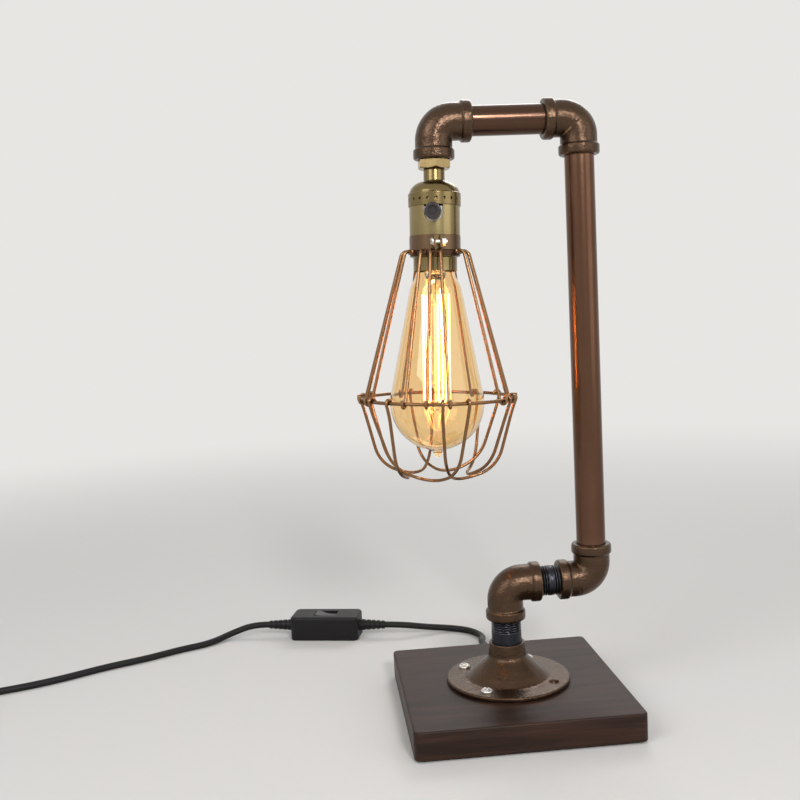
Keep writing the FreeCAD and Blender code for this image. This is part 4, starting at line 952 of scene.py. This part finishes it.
@dataclass
class Stand:
    """The wooden board with its flange, screws, bush and upright nipple."""

    shop: Workshop
    half: float = 76.5
    flange_r: float = 43.7
    collar_r: float = 12.6
    collar_top: float = 48.7
    screw_ring: float = 35.0
    hole_bearing: float = -36.0
    cord_z: float = 10.0

    def build(self) -> None:
        """Make the stand's pieces."""
        root = Body.ROOT
        levels = edge_levels(1.5, BOARD_TOP, 0.8, 1.3)
        self.shop.piece("base_board", block_rings(self.half, 4.0, levels), root, WALNUT, "base_block")
        rows = rounded([(0.5, 76.2), (6.5, 76.2), (6.5, 78.5), (5.2, 78.5), (4.9, 80.5), (3.5, 100.5),
                        (2.8, 100.5)], [0, 0, 0.6, 0.3, 0, 0.4, 0])
        self.shop.piece("cord_bush", revolved(rows, 48), root, BLACK, "base_gland",
                        at=shift(z=self.cord_z) @ turn("X", -90))
        self._flange()
        screws = Shell()
        for bearing, twist in ((54, 20), (144, 65), (234, 8)):
            seat = turn("Z", bearing) @ shift(self.screw_ring, 0, PLATE_TOP) @ turn("Z", twist)
            screws.add_grid(pan_head(4.1, 2.5, 2.9), place=seat)
        self.shop.piece("board_screws", screws, root, ZINC, "flange_screws", sharp=30)
        self.shop.piece("upright_nipple", threaded(47.8, 65.8, [(56.5, 66.5)]), root, STEEL, "base_nipple")

    def _flange(self) -> None:
        """Make the flange, whose empty screw hole is pressed into a denser patch of its plate, with a
        near-black disc of painted shade at the hole's foot.
        """
        rim, foot = self.flange_r, BOARD_TOP + 0.02
        profile = rounded(
            [(11, foot), (rim - 0.8, foot), (rim, 21.5), (rim, PLATE_TOP - 0.1), (29.2, PLATE_TOP + 0.3),
             (25.0, 28.5), (13.4, 38.2), (self.collar_r, self.collar_top), (10.75, self.collar_top),
             (10.75, 47.6)],
            [0, 0.3, 0.5, 1.2, 4.0, 9.0, 5.0, 0.8, 0.3, 0])
        dense = (profile[:, 0] < 43) & (profile[:, 0] > 28) & (profile[:, 1] > PLATE_TOP - 1)
        first, last = np.flatnonzero(dense)[[0, -1]]
        profile = np.concatenate([densified(profile[:first], 1.5), densified(profile[first:last + 1], 0.18),
                                  densified(profile[last + 1:], 1.5)])
        fine, coarse = np.linspace(-8, 8, 60), np.linspace(8, 352, 175)[1:-1]
        grid = revolved(profile, np.radians(self.hole_bearing + np.concatenate([fine, coarse])))
        hole = turn("Z", self.hole_bearing) @ shift(self.screw_ring)
        away = np.hypot(grid[..., 0] - hole[0, 3], grid[..., 1] - hole[1, 3])
        sink = np.clip(3.8 - away, 0, 1.5) + 1.75 * (1 - smooth_step(away, 2.15, 2.35))
        grid[..., 2] -= sink * smooth_step(grid[..., 2], PLATE_TOP - 0.9, PLATE_TOP - 0.3)
        self.shop.piece("flange_casting", grid, Body.ROOT, CAST, "floor_flange")
        # A near-black disc at the foot of the empty hole is painted shade.
        disc = revolved(np.array([(0.2, 0.0), (2.2, 0.0), (2.2, 0.3), (0.2, 0.3)]), 32)
        self.shop.piece("screw_hole_painted_shade", disc, Body.ROOT, HOLE_PAINTED_SHADE,
                        at=shift(hole[0, 3], hole[1, 3], PLATE_TOP - 3.2))


@dataclass
class Pipework:
    """The elbows, nipples and pipes from the flange to the lampholder."""

    shop: Workshop
    reach: float = 25.2
    body_r: float = 12.7
    band_r: float = 14.05
    pipe_seat: float = 10.3
    thread_seat: float = 10.75
    lead_r: float = 2.7

    @staticmethod
    def skinned(path: np.ndarray, stations: np.ndarray) -> np.ndarray:
        """Return the grid of a round skin along a path.

        Args:
            path: Dense points of the middle line.
            stations: Rows of distance along the path and radius there.

        Returns:
            Points as rings by points round by 3.
        """
        first, second = frames_along(path)
        walked = np.concatenate([[0], np.cumsum(np.linalg.norm(np.diff(path, axis=0), axis=1))])

        def read(rows: np.ndarray) -> np.ndarray:
            """Return rows read at the stations' distances."""
            return np.stack([np.interp(stations[:, 0], walked, rows[:, k]) for k in range(3)], 1)[:, None]

        angle = np.linspace(0, 2 * np.pi, 72, endpoint=False)[None, :, None]
        ring = np.cos(angle) * read(first) + np.sin(angle) * read(second)
        ring /= np.linalg.norm(ring, axis=2)[..., None]
        return read(path) + stations[:, None, 1:] * ring

    def elbow(self, name: str, node: str, body: Body, place: np.ndarray, seats: tuple[float, float],
              lean: float = 0.0) -> None:
        """Make an elbow with one mouth along X and one downwards, each with its rounded band.

        Args:
            name: The piece's name.
            node: The solid that it stands for.
            body: The body it rides on.
            place: Where the elbow stands.
            seats: Radii of the seats in the side mouth and in the lower mouth.
            lean: Outward lean of the lower mouth in degrees.
        """
        down = (turn("Y", lean) @ (0, 0, -self.reach, 1))[:3]
        path = densified(rounded([(self.reach, 0, 0), (0, 0, 0), tuple(down)], 18.5, steps=40), 0.4)
        length = np.linalg.norm(np.diff(path, axis=0), axis=1).sum()
        band, wall = self.band_r, self.body_r
        side, lower = (rounded([(0.9, seat), (0, seat), (0, band), (6.4, band), (7.5, wall), (11, wall)],
                               [0, 0.3, 1.7, 1.5, 1.2, 0], steps=6) for seat in seats)
        middle = np.stack([np.linspace(12, length - 12, 30), np.full(30, wall)], 1)
        stations = np.concatenate([side, middle, lower[::-1] * (-1, 1) + (length, 0)])
        self.shop.piece(name, self.skinned(path, stations), body, CAST, node, at=place)

    def build(self) -> None:
        """Make the elbows, nipples and pipes."""
        pipe, thread, inside = self.pipe_seat, self.thread_seat, self.reach - 0.6
        column = shift(COLUMN_X, 0, ELBOW_Z) @ turn("Y", 180)
        top = shift(COLUMN_X, 0, ARM_Z) @ turn("Z", 180)
        self.elbow("elbow_on_flange", "base_elbow", Body.ROOT, shift(z=ELBOW_Z), (thread, thread))
        self.elbow("elbow_under_column", "column_elbow", Body.ROOT, column, (thread, pipe))
        self.elbow("elbow_on_column", "top_elbow", Body.MAST, top, (pipe, pipe))
        self.elbow("elbow_over_lampholder", "drop_elbow", Body.HEAD, shift(HEAD_X, 0, ARM_Z), (pipe, thread),
                   LEAN)
        self.shop.piece("level_nipple", threaded(24.7, 38.9, [(20.0, 31.6), (33.0, 42.0)]), Body.ROOT, STEEL,
                        "offset_nipple", at=shift(z=ELBOW_Z) @ turn("Y", 90) @ turn("Z", 140))
        runs = (("column_tube", "column_pipe", (COLUMN_X, 0, ELBOW_Z + inside),
                 (COLUMN_X, 0, ARM_Z - inside), PIPE),
                # The arm tube's finish is darkened with painted shade.
                ("arm_tube", "arm_pipe", (HEAD_X + inside, 0, ARM_Z), (COLUMN_X - inside, 0, ARM_Z), ARM_PAINTED_SHADE))
        for name, node, start, end, finish in runs:
            self.shop.piece(name, piped(np.linspace(start, end, 40), PIPE_R, 96), Body.MAST, finish, node)
        self._leads()

    def _leads(self) -> None:
        """Make the leads inside the pipes, which show only if the pipes are hidden."""
        tip = (HEAD @ (0, 0, -50, 1))[:3]
        runs = (("base_lead", "lead_base", Body.ROOT,
                 [(0, 99, 10), (0, 0, 10), (0, 0, ELBOW_Z), (COLUMN_X, 0, ELBOW_Z), (COLUMN_X, 0, 103)]),
                ("column_lead", "lead_mast", Body.MAST,
                 [(COLUMN_X, 0, 103.6), (COLUMN_X, 0, ARM_Z), (-23.2, 0, ARM_Z)]),
                ("head_lead", "lead_head", Body.HEAD, [(-23.9, 0, ARM_Z), (HEAD_X, 0, ARM_Z), tip]))
        for name, node, body, corners in runs:
            path = densified(rounded(corners, 12.0, steps=12), 4.0)
            self.shop.piece(name, piped(path, self.lead_r), body, CORD, node)


@dataclass
class Lampholder:
    """The brass bushing, cap and shell, with the key and the cage's clamp."""

    shop: Workshop
    flats: float = 20.5
    band_r: float = 18.0
    vents: int = 20
    vent_z: float = -52.3

    def build(self) -> None:
        """Make the lampholder's pieces."""
        self._bushing()
        self._cap()
        beads = rounded([(16.31, -86.36), (17.3, -86.36), (17.3, -90.4), (16.31, -90.4)], [0, 0.5, 0.9, 0])
        ring = Shell().add_grid(revolved(beads), place=HEAD, wrap=True)
        self.shop.piece("wire_ring", ring, Body.HEAD, COLLAR_METAL, "neck_ring")
        middle = COLLAR @ shift(0, -20.9, -81.5)
        screw = Shell().add_grid(pan_head(2.9, 2.0, 2.1), place=middle @ shift(-2.95) @ turn("Y", -90))
        screw.add_grid(revolved(np.array([(1.45, -2.9), (1.45, 6.3)]), 32), place=middle @ turn("Y", 90))
        self.shop.piece("collar_screw", screw, Body.HEAD, ZINC, "clamp_screw", sharp=30)

    def _bushing(self) -> None:
        """Make the hexagonal bushing, whose radius is the least of its flats and two cones."""
        top, foot, half = -25.3, -31.35, self.flats / 2
        rows = np.array([(9.4, top), *[(20.0, z) for z in np.linspace(top, foot, 26)], (9.4, foot)])

        def flat_sided(out: np.ndarray, up: np.ndarray, angle: np.ndarray) -> np.ndarray:
            """Return what brings the radius to the hexagon or to the cone at that height."""
            corner = np.mod(angle + math.pi / 6, math.pi / 3) - math.pi / 6
            cone = half + 0.1 + np.minimum((up - foot) / 0.6, (top - up) / 0.4)
            return np.where(out > 15, np.minimum(half / np.cos(corner), cone) - out, 0)

        self.shop.piece("hex_bushing", revolved(rows, 240, flat_sided), Body.HEAD, HEX_BRASS,
                        "reducer_bushing", at=HEAD, sharp=25)

    def _cap(self) -> None:
        """Make the domed cap with its row of vent dents."""
        neck = rounded([(5.2, -31.45), (7.2, -31.45), (7.2, -39.4), (8.3, -39.9)], [0, 0.5, 0.8, 0], steps=5)
        dome = arc((7.3, -50.2), 10.35, 84, 14, 26)
        band = rounded([(17.35, -47.6), (self.band_r, -48.1), (self.band_r, -56.7), (17.3, -56.7),
                        (17.3, -55.6)], [0, 0.5, 0.45, 0.2, 0], steps=5)
        profile = densified(np.concatenate([neck, dome, band]), 0.22, -53.6, -51.0)
        share = 2 * math.pi / self.vents

        def dents(out: np.ndarray, up: np.ndarray, angle: np.ndarray) -> np.ndarray:
            """Return the dents as negative distances."""
            around = np.mod(angle + share / 2, share) - share / 2
            away = np.hypot(around * self.band_r, up - self.vent_z)
            return np.where(out > 17.6, -1.3 * (1 - smooth_step(away, 0.62, 0.95)), 0)

        self.shop.piece("domed_cap", revolved(profile, 600, dents), Body.HEAD, BRASS, "socket_cap",
                        at=HEAD @ turn("Z", -4))


@dataclass
class Cage:
    """The wire cage: twelve wires, the waist ring and six crossing loops."""

    shop: Workshop
    wire: float = 1.1
    hook: float = 2.38
    front: float = 262.7
    neck_z: float = -86.8
    shoulder: float = 4.0

    def build(self) -> None:
        """Make the wires, the ring and the loops."""
        groups = {"front": (-24.5, 16.75), "right": (57.0, 17.0), "back": (148.0, 32.5),
                  "left": (-90.0, 14.0)}
        wire = piped(self._wire_path(), self.wire, 14)
        braze = revolved(arc((0, 0), 1.75, -88, 88, 10), 16)
        for name, (first, step) in groups.items():
            shell = Shell()
            for k in range(3):
                seat = HEAD @ turn("Z", self.front + first + k * step)
                shell.add_grid(wire, place=seat)
                shell.add_grid(braze, place=seat @ shift(17.2, 0, self.neck_z - 0.3))
            self.shop.piece(f"upper_wires_{name}", shell, Body.HEAD, CAGE_METAL, f"cage_wires_{name}")
        section = arc((RING_R, RING_Z), 1.2, 0, 360, 18)[:-1]
        ring = Shell().add_grid(revolved(section, 192), wrap=True, place=HEAD)
        self.shop.piece("waist_ring", ring, Body.HEAD, CAGE_METAL, "cage_ring")
        for part in range(3):
            shell = Shell()
            for bearing in (60 * part - 16.8, 60 * part + 163.2):
                shell.add_grid(piped(self._loop_path(bearing), self.wire, 14),
                               place=HEAD @ turn("Z", self.front - 270))
            self.shop.piece(f"lower_loops_{part + 1}", shell, Body.HEAD, CAGE_METAL,
                            f"basket_loops_{part + 1}")

    def _wire_path(self) -> np.ndarray:
        """Return the middle line of an upper wire in its own upright plane.

        It leaves the neck level, bends down to the cage's slope, and ends in a hook that goes
        round below the waist ring and up outside it.
        """
        slope = math.radians(75)
        foot = (RING_R - self.hook * math.sin(slope), RING_Z - self.hook * math.cos(slope))
        head_z = self.neck_z - self.shoulder * (1 - math.cos(slope))
        head_x = foot[0] - (head_z - foot[1]) / math.tan(slope)
        middle = (head_x - self.shoulder * math.sin(slope), self.neck_z - self.shoulder)
        bend = arc(middle, self.shoulder, 90, 15, 10)
        hook = arc((RING_R, RING_Z), self.hook, 195, 362, 22)
        tip = arc(hook[-1], 2.6, 92, 92, 0)
        line = np.concatenate([[(16.9, self.neck_z)], bend, np.linspace(bend[-1], hook[0], 14)[1:-1], hook,
                               tip])
        return np.stack([line[:, 0], np.zeros(len(line)), line[:, 1]], 1)

    def _loop_path(self, bearing: float) -> np.ndarray:
        """Return the middle line of a basket loop, hook to hook, whose middle has a bearing."""
        lean = math.radians(18.5)
        middle = math.radians(bearing)

        def spot(out: float, way: float, z: float) -> np.ndarray:
            """Return the point at a distance from the middle line, in a direction and height."""
            return np.array([out * math.sin(way), -out * math.cos(way), z])

        def half(side: int) -> tuple[list[np.ndarray], list[np.ndarray]]:
            """Return one side's hook and the corners below it."""
            way = middle + side * math.radians(39.4)
            hook = [spot(RING_R + self.hook * math.cos(a), way, RING_Z + self.hook * math.sin(a))
                    for a in np.linspace(math.pi + lean, -lean, 22)]
            drop = side * 2.0 / math.sqrt(2)
            knee = spot(40 + drop, middle + side * math.radians(35.5), RING_Z - 47 - drop)
            straight = hook[-1] + 9.0 * spot(-math.sin(lean), way, -math.cos(lean))
            return hook, [straight, knee]

        first, down = half(-1)
        last, up = half(1)
        toe = spot(18, middle, RING_Z - 56.7)
        corners = [first[-1], *down, toe, *up[::-1], last[-1]]
        reaches = []
        for before, here, after in zip(corners, corners[1:], corners[2:]):
            back, ahead = before - here, after - here
            size = min(np.linalg.norm(back), np.linalg.norm(ahead))
            cosine = back @ ahead / np.linalg.norm(back) / np.linalg.norm(ahead)
            reaches.append(0.45 * size * math.tan(0.5 * math.acos(cosine)))
        run = rounded(corners, [0, *reaches, 0], steps=12)
        return densified(np.concatenate([first[:-1], run, last[-2::-1]]), 3.0)


@dataclass
class Bulb:
    """The filament bulb: glass, stem, filament and its hooks."""

    shop: Workshop
    glass_r: float = 32.8
    wall: float = 0.9
    widest_z: float = -191.0
    flare: float = 11.2
    strands: int = 5
    strand_ring: float = 8.8

    def build(self) -> None:
        """Make the bulb's pieces."""
        line = np.concatenate([[(12.0, -99.2)], self._glass_line(0.0), self._glass_line(self.wall)[::-1]])
        self.shop.piece("glass_envelope", revolved(line, 128), Body.BULB, AMBER, "bulb_glass", at=HEAD,
                        sharp=60)
        stem = rounded([(0.3, -99.9), (8.4, -99.9), (5.2, -108), (3.4, -114), (3.4, -119.4), (1.5, -121.5),
                        (1.5, -195.4), (2.6, -196.6), (2.5, -198), (0.3, -198.2)],
                       [0, 0.8, 6, 4, 1.2, 1.2, 1.0, 0.6, 0.6, 0])
        self.shop.piece("glass_stem", revolved(densified(stem, 4.0), 40), Body.BULB, CLEAR, "bulb_stem",
                        at=HEAD, sharp=60)
        self._filament()

    def _glass_line(self, inset: float) -> np.ndarray:
        """Return the glass's outline, from the neck to the tip, set in by a distance."""
        radius, widest, neck_r = self.glass_r - inset, (0.0, self.widest_z), 12.9 - inset
        top = arc(widest, radius, self.flare, self.flare, 0)[0]
        shoulder_z = -111.0
        shoulder = (top[0] - (shoulder_z - top[1]) * math.tan(math.radians(self.flare)), shoulder_z)
        neck = rounded([(neck_r, -99.2), (neck_r, -100.4), (neck_r + 1.0, -104.0), shoulder, tuple(top)],
                       [0, 2, 9, 14, 0], steps=10)
        if inset:
            tip = arc(widest, radius, self.flare, -89.5, 60)
        else:
            pip_r = 7.0
            end = (pip_r, self.widest_z - math.sqrt(radius * radius - pip_r * pip_r))
            pip = rounded([end, (3.4, end[1] - 1.7), (1.9, -227.6), (1.0, -228.6), (0.05, -228.6)],
                          [0, 3, 0.8, 0.4, 0])
            join = -math.degrees(math.acos(pip_r / radius))
            tip = np.concatenate([arc(widest, radius, self.flare, join, 56)[:-1], pip])
        return densified(np.concatenate([neck[:-1], tip]), 2.5)

    def _filament(self) -> None:
        """Make the hairpins, the wires that hold them and the two lead wires."""
        glow, hooks = Shell(), Shell()
        half = 2.6
        down = [(-half, z) for z in np.linspace(-120, -184, 12)]
        up = [(half, z) for z in np.linspace(-184, -120, 12)]
        flat = np.concatenate([[(-half, -116.0)], down, arc((0.0, -187.5), half, 180, 360, 12), up,
                               [(half, -116.0)]])
        hairpin = np.stack([np.full(len(flat), self.strand_ring), flat[:, 0], flat[:, 1]], 1)
        for k in range(self.strands):
            seat = HEAD @ turn("Z", 360 / self.strands * k)
            glow.add_grid(piped(hairpin, 0.5, 10), place=seat)
            for height in (-123.5, -190.0):
                loop = arc((self.strand_ring, 0.0), 0.75, 180, -110, 12)
                curl = np.column_stack([loop, np.full(len(loop), height)])
                line = np.concatenate([[(1.4, 0, height), (4.5, 0, height + 0.8)], curl])
                hooks.add_grid(piped(line, 0.24, 8), place=seat)
        for side in (-1, 1):
            line = rounded([(side * 2.0, 0.6, -112), (side * 3.0, 0.6, -118),
                            (side * 8.6, side * 2.4, -115.6)], 3)
            hooks.add_grid(piped(densified(line, 1.5), 0.35, 8), place=HEAD)
        self.shop.piece("filament_strands", glow, Body.BULB, GLOW, "filament")
        self.shop.piece("filament_supports", hooks, Body.BULB, NICKEL, "filament_hooks")


LAMP_ROUTE = [
    (0, 100.5, 10), (0, 112, 10), (3, 127, 5.6), (6.5, 143, 2.8), (0, 160.5, 2.8), (-17, 172, 2.8),
    (-38, 171, 5.6), (-60.86, 168.63, 10.4), (-76.43, 172.33, 10.4),
]
PLUG_ROUTE = [
    (-178.57, 196.67, 10.4), (-193.16, 200.14, 10.4), (-213, 198.6, 4.6), (-231, 180, 2.8),
    (-256, 169.5, 2.8), (-281, 153.5, 2.8), (-313, 140, 2.8), (-350, 117, 2.8), (-387, 103, 2.8),
    (-412, 98, 2.8), (-428.5, 98, 2.8),
]
TAIL_ROUTE = [
    (-439.5, 98, 8.9), (-453.5, 98, 8.9), (-473.5, 93, 7.7), (-491.5, 91, 6.85), (-503.5, 91, 6.85),
]


@dataclass
class CordSet:
    """The cord from the base to the switch, and on to the coil and the plug."""

    shop: Workshop
    diameter: float = 5.5
    coil_start: tuple[float, float, float] = (-434.0, 98.0, 2.8)
    coil_r: float = 39.0
    coil_step: float = 3.15
    layer: float = 6.1

    def build(self) -> None:
        """Make the cords, their reliefs and the plug."""
        near = SWITCH @ shift(30.5, 0, 10.4)
        far = SWITCH @ turn("Z", 180) @ shift(30.5, 0, 10.4)
        lamp_relief = self._relief("switch_relief_lamp_side", "relief_lamp_side", near)
        plug_relief = self._relief("switch_relief_plug_side", "relief_plug_side", far)
        plug, pins = self._plug()
        first = self._curve("cord_to_switch", LAMP_ROUTE, "cord_base_side")
        second = self._curve("cord_to_plug", [*PLUG_ROUTE, *self._coil_points(), *TAIL_ROUTE],
                             "cord_plug_side", "cord_coil", "cord_tail")

    def _curve(self, name: str, route: Sequence[tuple[float, float, float]], *nodes: str) -> bpy.types.Object:
        """Make a round cord whose spline has the route's points as its control points.

        Args:
            name: The piece's name.
            route: The control points in millimetres.
            *nodes: The solids that it stands for.

        Returns:
            The cord.
        """
        curve = bpy.data.curves.new(name, "CURVE")
        curve.dimensions = "3D"
        curve.bevel_depth = 0.5 * self.diameter * MM
        curve.bevel_resolution = 5
        curve.resolution_u = 6
        curve.use_fill_caps = True
        spline = curve.splines.new("NURBS")
        spline.points.add(len(route) - 1)
        rows = np.column_stack([np.asarray(route, float) * MM, np.ones(len(route))])
        spline.points.foreach_set("co", rows.ravel().astype(np.float32))
        spline.order_u = 3
        spline.use_endpoint_u = True
        made = bpy.data.objects.new(name, curve)
        bpy.context.scene.collection.objects.link(made)
        return self.shop.place(made, Body.ROOT, CORD, *nodes)

    def _coil_points(self) -> list[tuple[float, float, float]]:
        """Return the coil's turns: half circles that shrink, climb and then grow in a layer above.

        Each half circle starts where the last one ended, on the line through the coil's start
        and middle, and turns to the left.

        Returns:
            Points in millimetres, twelve to a turn.
        """
        x, y, z = self.coil_start
        points = [(x, y, z)]
        side = 1
        for count in range(12):
            radius = self.coil_r - self.coil_step * min(count, 10 - count)
            rise = self.layer if count == 5 else 0.0
            middle = y - side * radius
            for k in range(1, 7):
                angle = math.radians(90 + 30 * k)
                reach = radius / math.cos(math.radians(15)) if k < 6 else radius
                points.append((x + side * reach * math.cos(angle), middle + side * reach * math.sin(angle),
                               z + rise * k / 6))
            y -= side * 2 * radius
            z += rise
            side = -side
        return points

    def _relief(self, name: str, node: str, place: np.ndarray) -> bpy.types.Object:
        """Make a tapered relief with rounded ribs, which the free cord meets at its tip."""
        length, pitch = 22, 4.4
        along = np.linspace(0, length, 89)
        ribbed = smooth_step(along, 2, 3) * (1 - smooth_step(along, 19, 20.5))
        grooves = 0.55 * ribbed * (np.mod(along - 2, pitch) > 2.9)
        side = np.stack([5.0 - 1.5 * along / length - grooves, along], 1)
        profile = np.concatenate([[(2.0, -0.4)], side])
        return self.shop.piece(name, revolved(profile, 40, axis="X"), Body.ROOT, BLACK, node, at=place)

    def _plug(self) -> tuple[bpy.types.Object, bpy.types.Object]:
        """Make the flat two-pin plug and its pins."""
        seat = shift(-561.5, 91, 6.85) @ turn("Z", 180)
        levels = [(3.3, 3.3, -58.0), (3.5, 3.5, -57.6), (4.9, 4.9, -38.4), (6.2, 5.6, -36.2),
                  (9.6, 6.5, -32.0), (13.4, 6.8, -24.0), (15.4, 6.8, -16.0), (16.4, 6.75, -9.0),
                  (17.3, 6.75, -1.6), (17.1, 6.5, -0.5), (16.4, 5.9, 0.0)]
        plug = self.shop.piece("plug_moulding", squircle_rings(levels, 3.2), Body.ROOT, BLACK, "plug_body",
                               at=seat)
        profile = rounded([(1.95, -0.3), (2.0, 0), (2.0, 19.0), (0.3, 19.0)], [0, 0, 0.9, 0])
        pin = revolved(profile, 32, axis="X")
        shell = Shell()
        for side in (-9.5, 9.5):
            shell.add_grid(pin, place=seat @ shift(y=side))
        return plug, self.shop.piece("plug_contacts", shell, Body.ROOT, NICKEL, "plug_pins")


# the room and the camera


def make_camera() -> None:
    """Make the camera at the photograph's place, with its tilt and roll."""
    yaw, pitch, roll = (math.radians(a) for a in (-5.007, 5.119, -2.761))
    ahead = np.array([-math.sin(yaw) * math.cos(pitch), math.cos(yaw) * math.cos(pitch), -math.sin(pitch)])
    right = np.array([math.cos(yaw), math.sin(yaw), 0.0])
    up = np.cross(right, ahead)
    across = math.cos(roll) * right + math.sin(roll) * up
    upward = -math.sin(roll) * right + math.cos(roll) * up
    data = bpy.data.cameras.new("camera")
    data.sensor_width = 36.0
    data.lens = 36.0 * 959.2 / 800
    data.clip_start = 0.01
    camera = bpy.data.objects.new("camera", data)
    pose = np.eye(4)
    pose[:3, :3] = np.column_stack([across, upward, -ahead])
    pose[:3, 3] = np.array([-125.8, -658.2, 284.4]) * MM
    camera.matrix_world = Matrix(pose)
    bpy.context.scene.collection.objects.link(camera)
    bpy.context.scene.camera = camera


@dataclass(frozen=True)
class Lamp:
    """A soft studio lamp."""

    name: str
    place: tuple[float, float, float]
    target: tuple[float, float, float]
    size: tuple[float, float]
    watts: float
    color: tuple[float, float, float] = (1.0, 1.0, 1.0)


LAMPS = (
    Lamp("key", (0.18, -1.28, 0.86), (0.0, 0.0, 0.25), (0.24, 0.24), 9.0),
    Lamp("side", (-1.2, -1.0, 1.2), (0.0, 0.0, 0.25), (0.9, 0.9), 10.0),
    Lamp("fill", (1.5, -1.2, 0.7), (0.0, 0.0, 0.2), (1.2, 1.2), 5.0),
    Lamp("rim", (0.5, 1.4, 1.3), (0.0, 0.0, 0.25), (1.0, 0.6), 7.0),
)


PALE = (0.80, 0.79, 0.77, 1)


def make_floor_material() -> bpy.types.Material:
    """Make the floor, which takes the lamp's shadow and turns into the backdrop's colour far off.

    Returns:
        The material.
    """
    material = bpy.data.materials.new("floor")
    material.use_nodes = True
    material.node_tree.nodes.clear()
    graph = Graph(material.node_tree)
    shader = graph.add("ShaderNodeBsdfPrincipled", Base_Color=PALE, Roughness=0.85)
    far = graph.add("ShaderNodeEmission", Color=PALE, Strength=1.0)
    away = graph.add("ShaderNodeVectorMath", {"operation": "LENGTH"}, _0=graph.spot())
    share = graph.remap(away.outputs["Value"], 0.5, 1.7, kind="SMOOTHSTEP")
    amount = graph.math("MULTIPLY", share, graph.shown())
    mixed = graph.add("ShaderNodeMixShader", _0=amount, _1=shader.outputs[0], _2=far.outputs[0])
    graph.add("ShaderNodeOutputMaterial", _0=mixed.outputs[0])
    return material


def make_room() -> None:
    """Make the pale floor, the pale surroundings and the soft lamps."""
    mesh = bpy.data.meshes.new("floor")
    reach = 6.0
    mesh.from_pydata([(-reach, -reach, 0), (reach, -reach, 0), (reach, reach, 0), (-reach, reach, 0)], [],
                     [(0, 1, 2, 3)])
    floor = bpy.data.objects.new("floor", mesh)
    bpy.context.scene.collection.objects.link(floor)
    mesh.materials.append(make_floor_material())
    floor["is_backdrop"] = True

    world = bpy.data.worlds.new("studio")
    world.use_nodes = True
    bpy.context.scene.world = world
    world.node_tree.nodes.clear()
    graph = Graph(world.node_tree)
    dim = graph.add("ShaderNodeBackground", Color=(1, 1, 1, 1), Strength=0.35)
    pale = graph.add("ShaderNodeBackground", Color=PALE, Strength=1.0)
    mixed = graph.add("ShaderNodeMixShader", _0=graph.shown(), _1=dim.outputs[0], _2=pale.outputs[0])
    graph.add("ShaderNodeOutputWorld", _0=mixed.outputs[0])

    for lamp in LAMPS:
        data = bpy.data.lights.new(lamp.name, "AREA")
        data.shape = "RECTANGLE"
        data.size, data.size_y = lamp.size
        data.energy = lamp.watts
        data.color = lamp.color
        made = bpy.data.objects.new(lamp.name, data)
        made.location = lamp.place
        away = Vector(lamp.place) - Vector(lamp.target)
        made.rotation_euler = away.to_track_quat("Z", "Y").to_euler()
        bpy.context.scene.collection.objects.link(made)
    bpy.context.scene.view_settings.view_transform = "Standard"


def corners() -> list[list[float]]:
    """Return the shown object's lowest and highest corner as plain lists."""
    return [list(corner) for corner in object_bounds()]


def main() -> None:
    """Build the lamp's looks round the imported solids."""
    logging.basicConfig(level=logging.INFO, format="%(message)s")
    for thing in list(bpy.data.objects):
        bpy.data.objects.remove(thing)
    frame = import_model()
    shop = Workshop(Paintbox())
    make_camera()
    shop.dress(frame, SOLIDS)
    for maker in (Stand, Pipework, Lampholder, Cage, Bulb, CordSet):
        maker(shop).build()
        LOG.info("%s done", maker.__name__)
    make_room()


SOLIDS = {
    "base_felt": FELT, "lamp_nipple": BRASS, "socket_shell": BRASS, "insulating_liner": CARD,
    "switch_block": CERAMIC, "screw_shell": NICKEL, "centre_contact": CONTACT, "terminal_screws": HEX_BRASS,
    "cage_collar": COLLAR_METAL, "clamp_nut": ZINC, "key_stem": KNOB, "key_knob": KNOB, "bulb_cap": NICKEL,
    "cap_insulator": KNOB, "cap_contact": CONTACT, "switch_lower": BLACK, "switch_upper": BLACK,
    "switch_screws": ZINC, "switch_contacts": CONTACT, "rocker": KNOB,
}


if __name__ == "__main__":
    main()
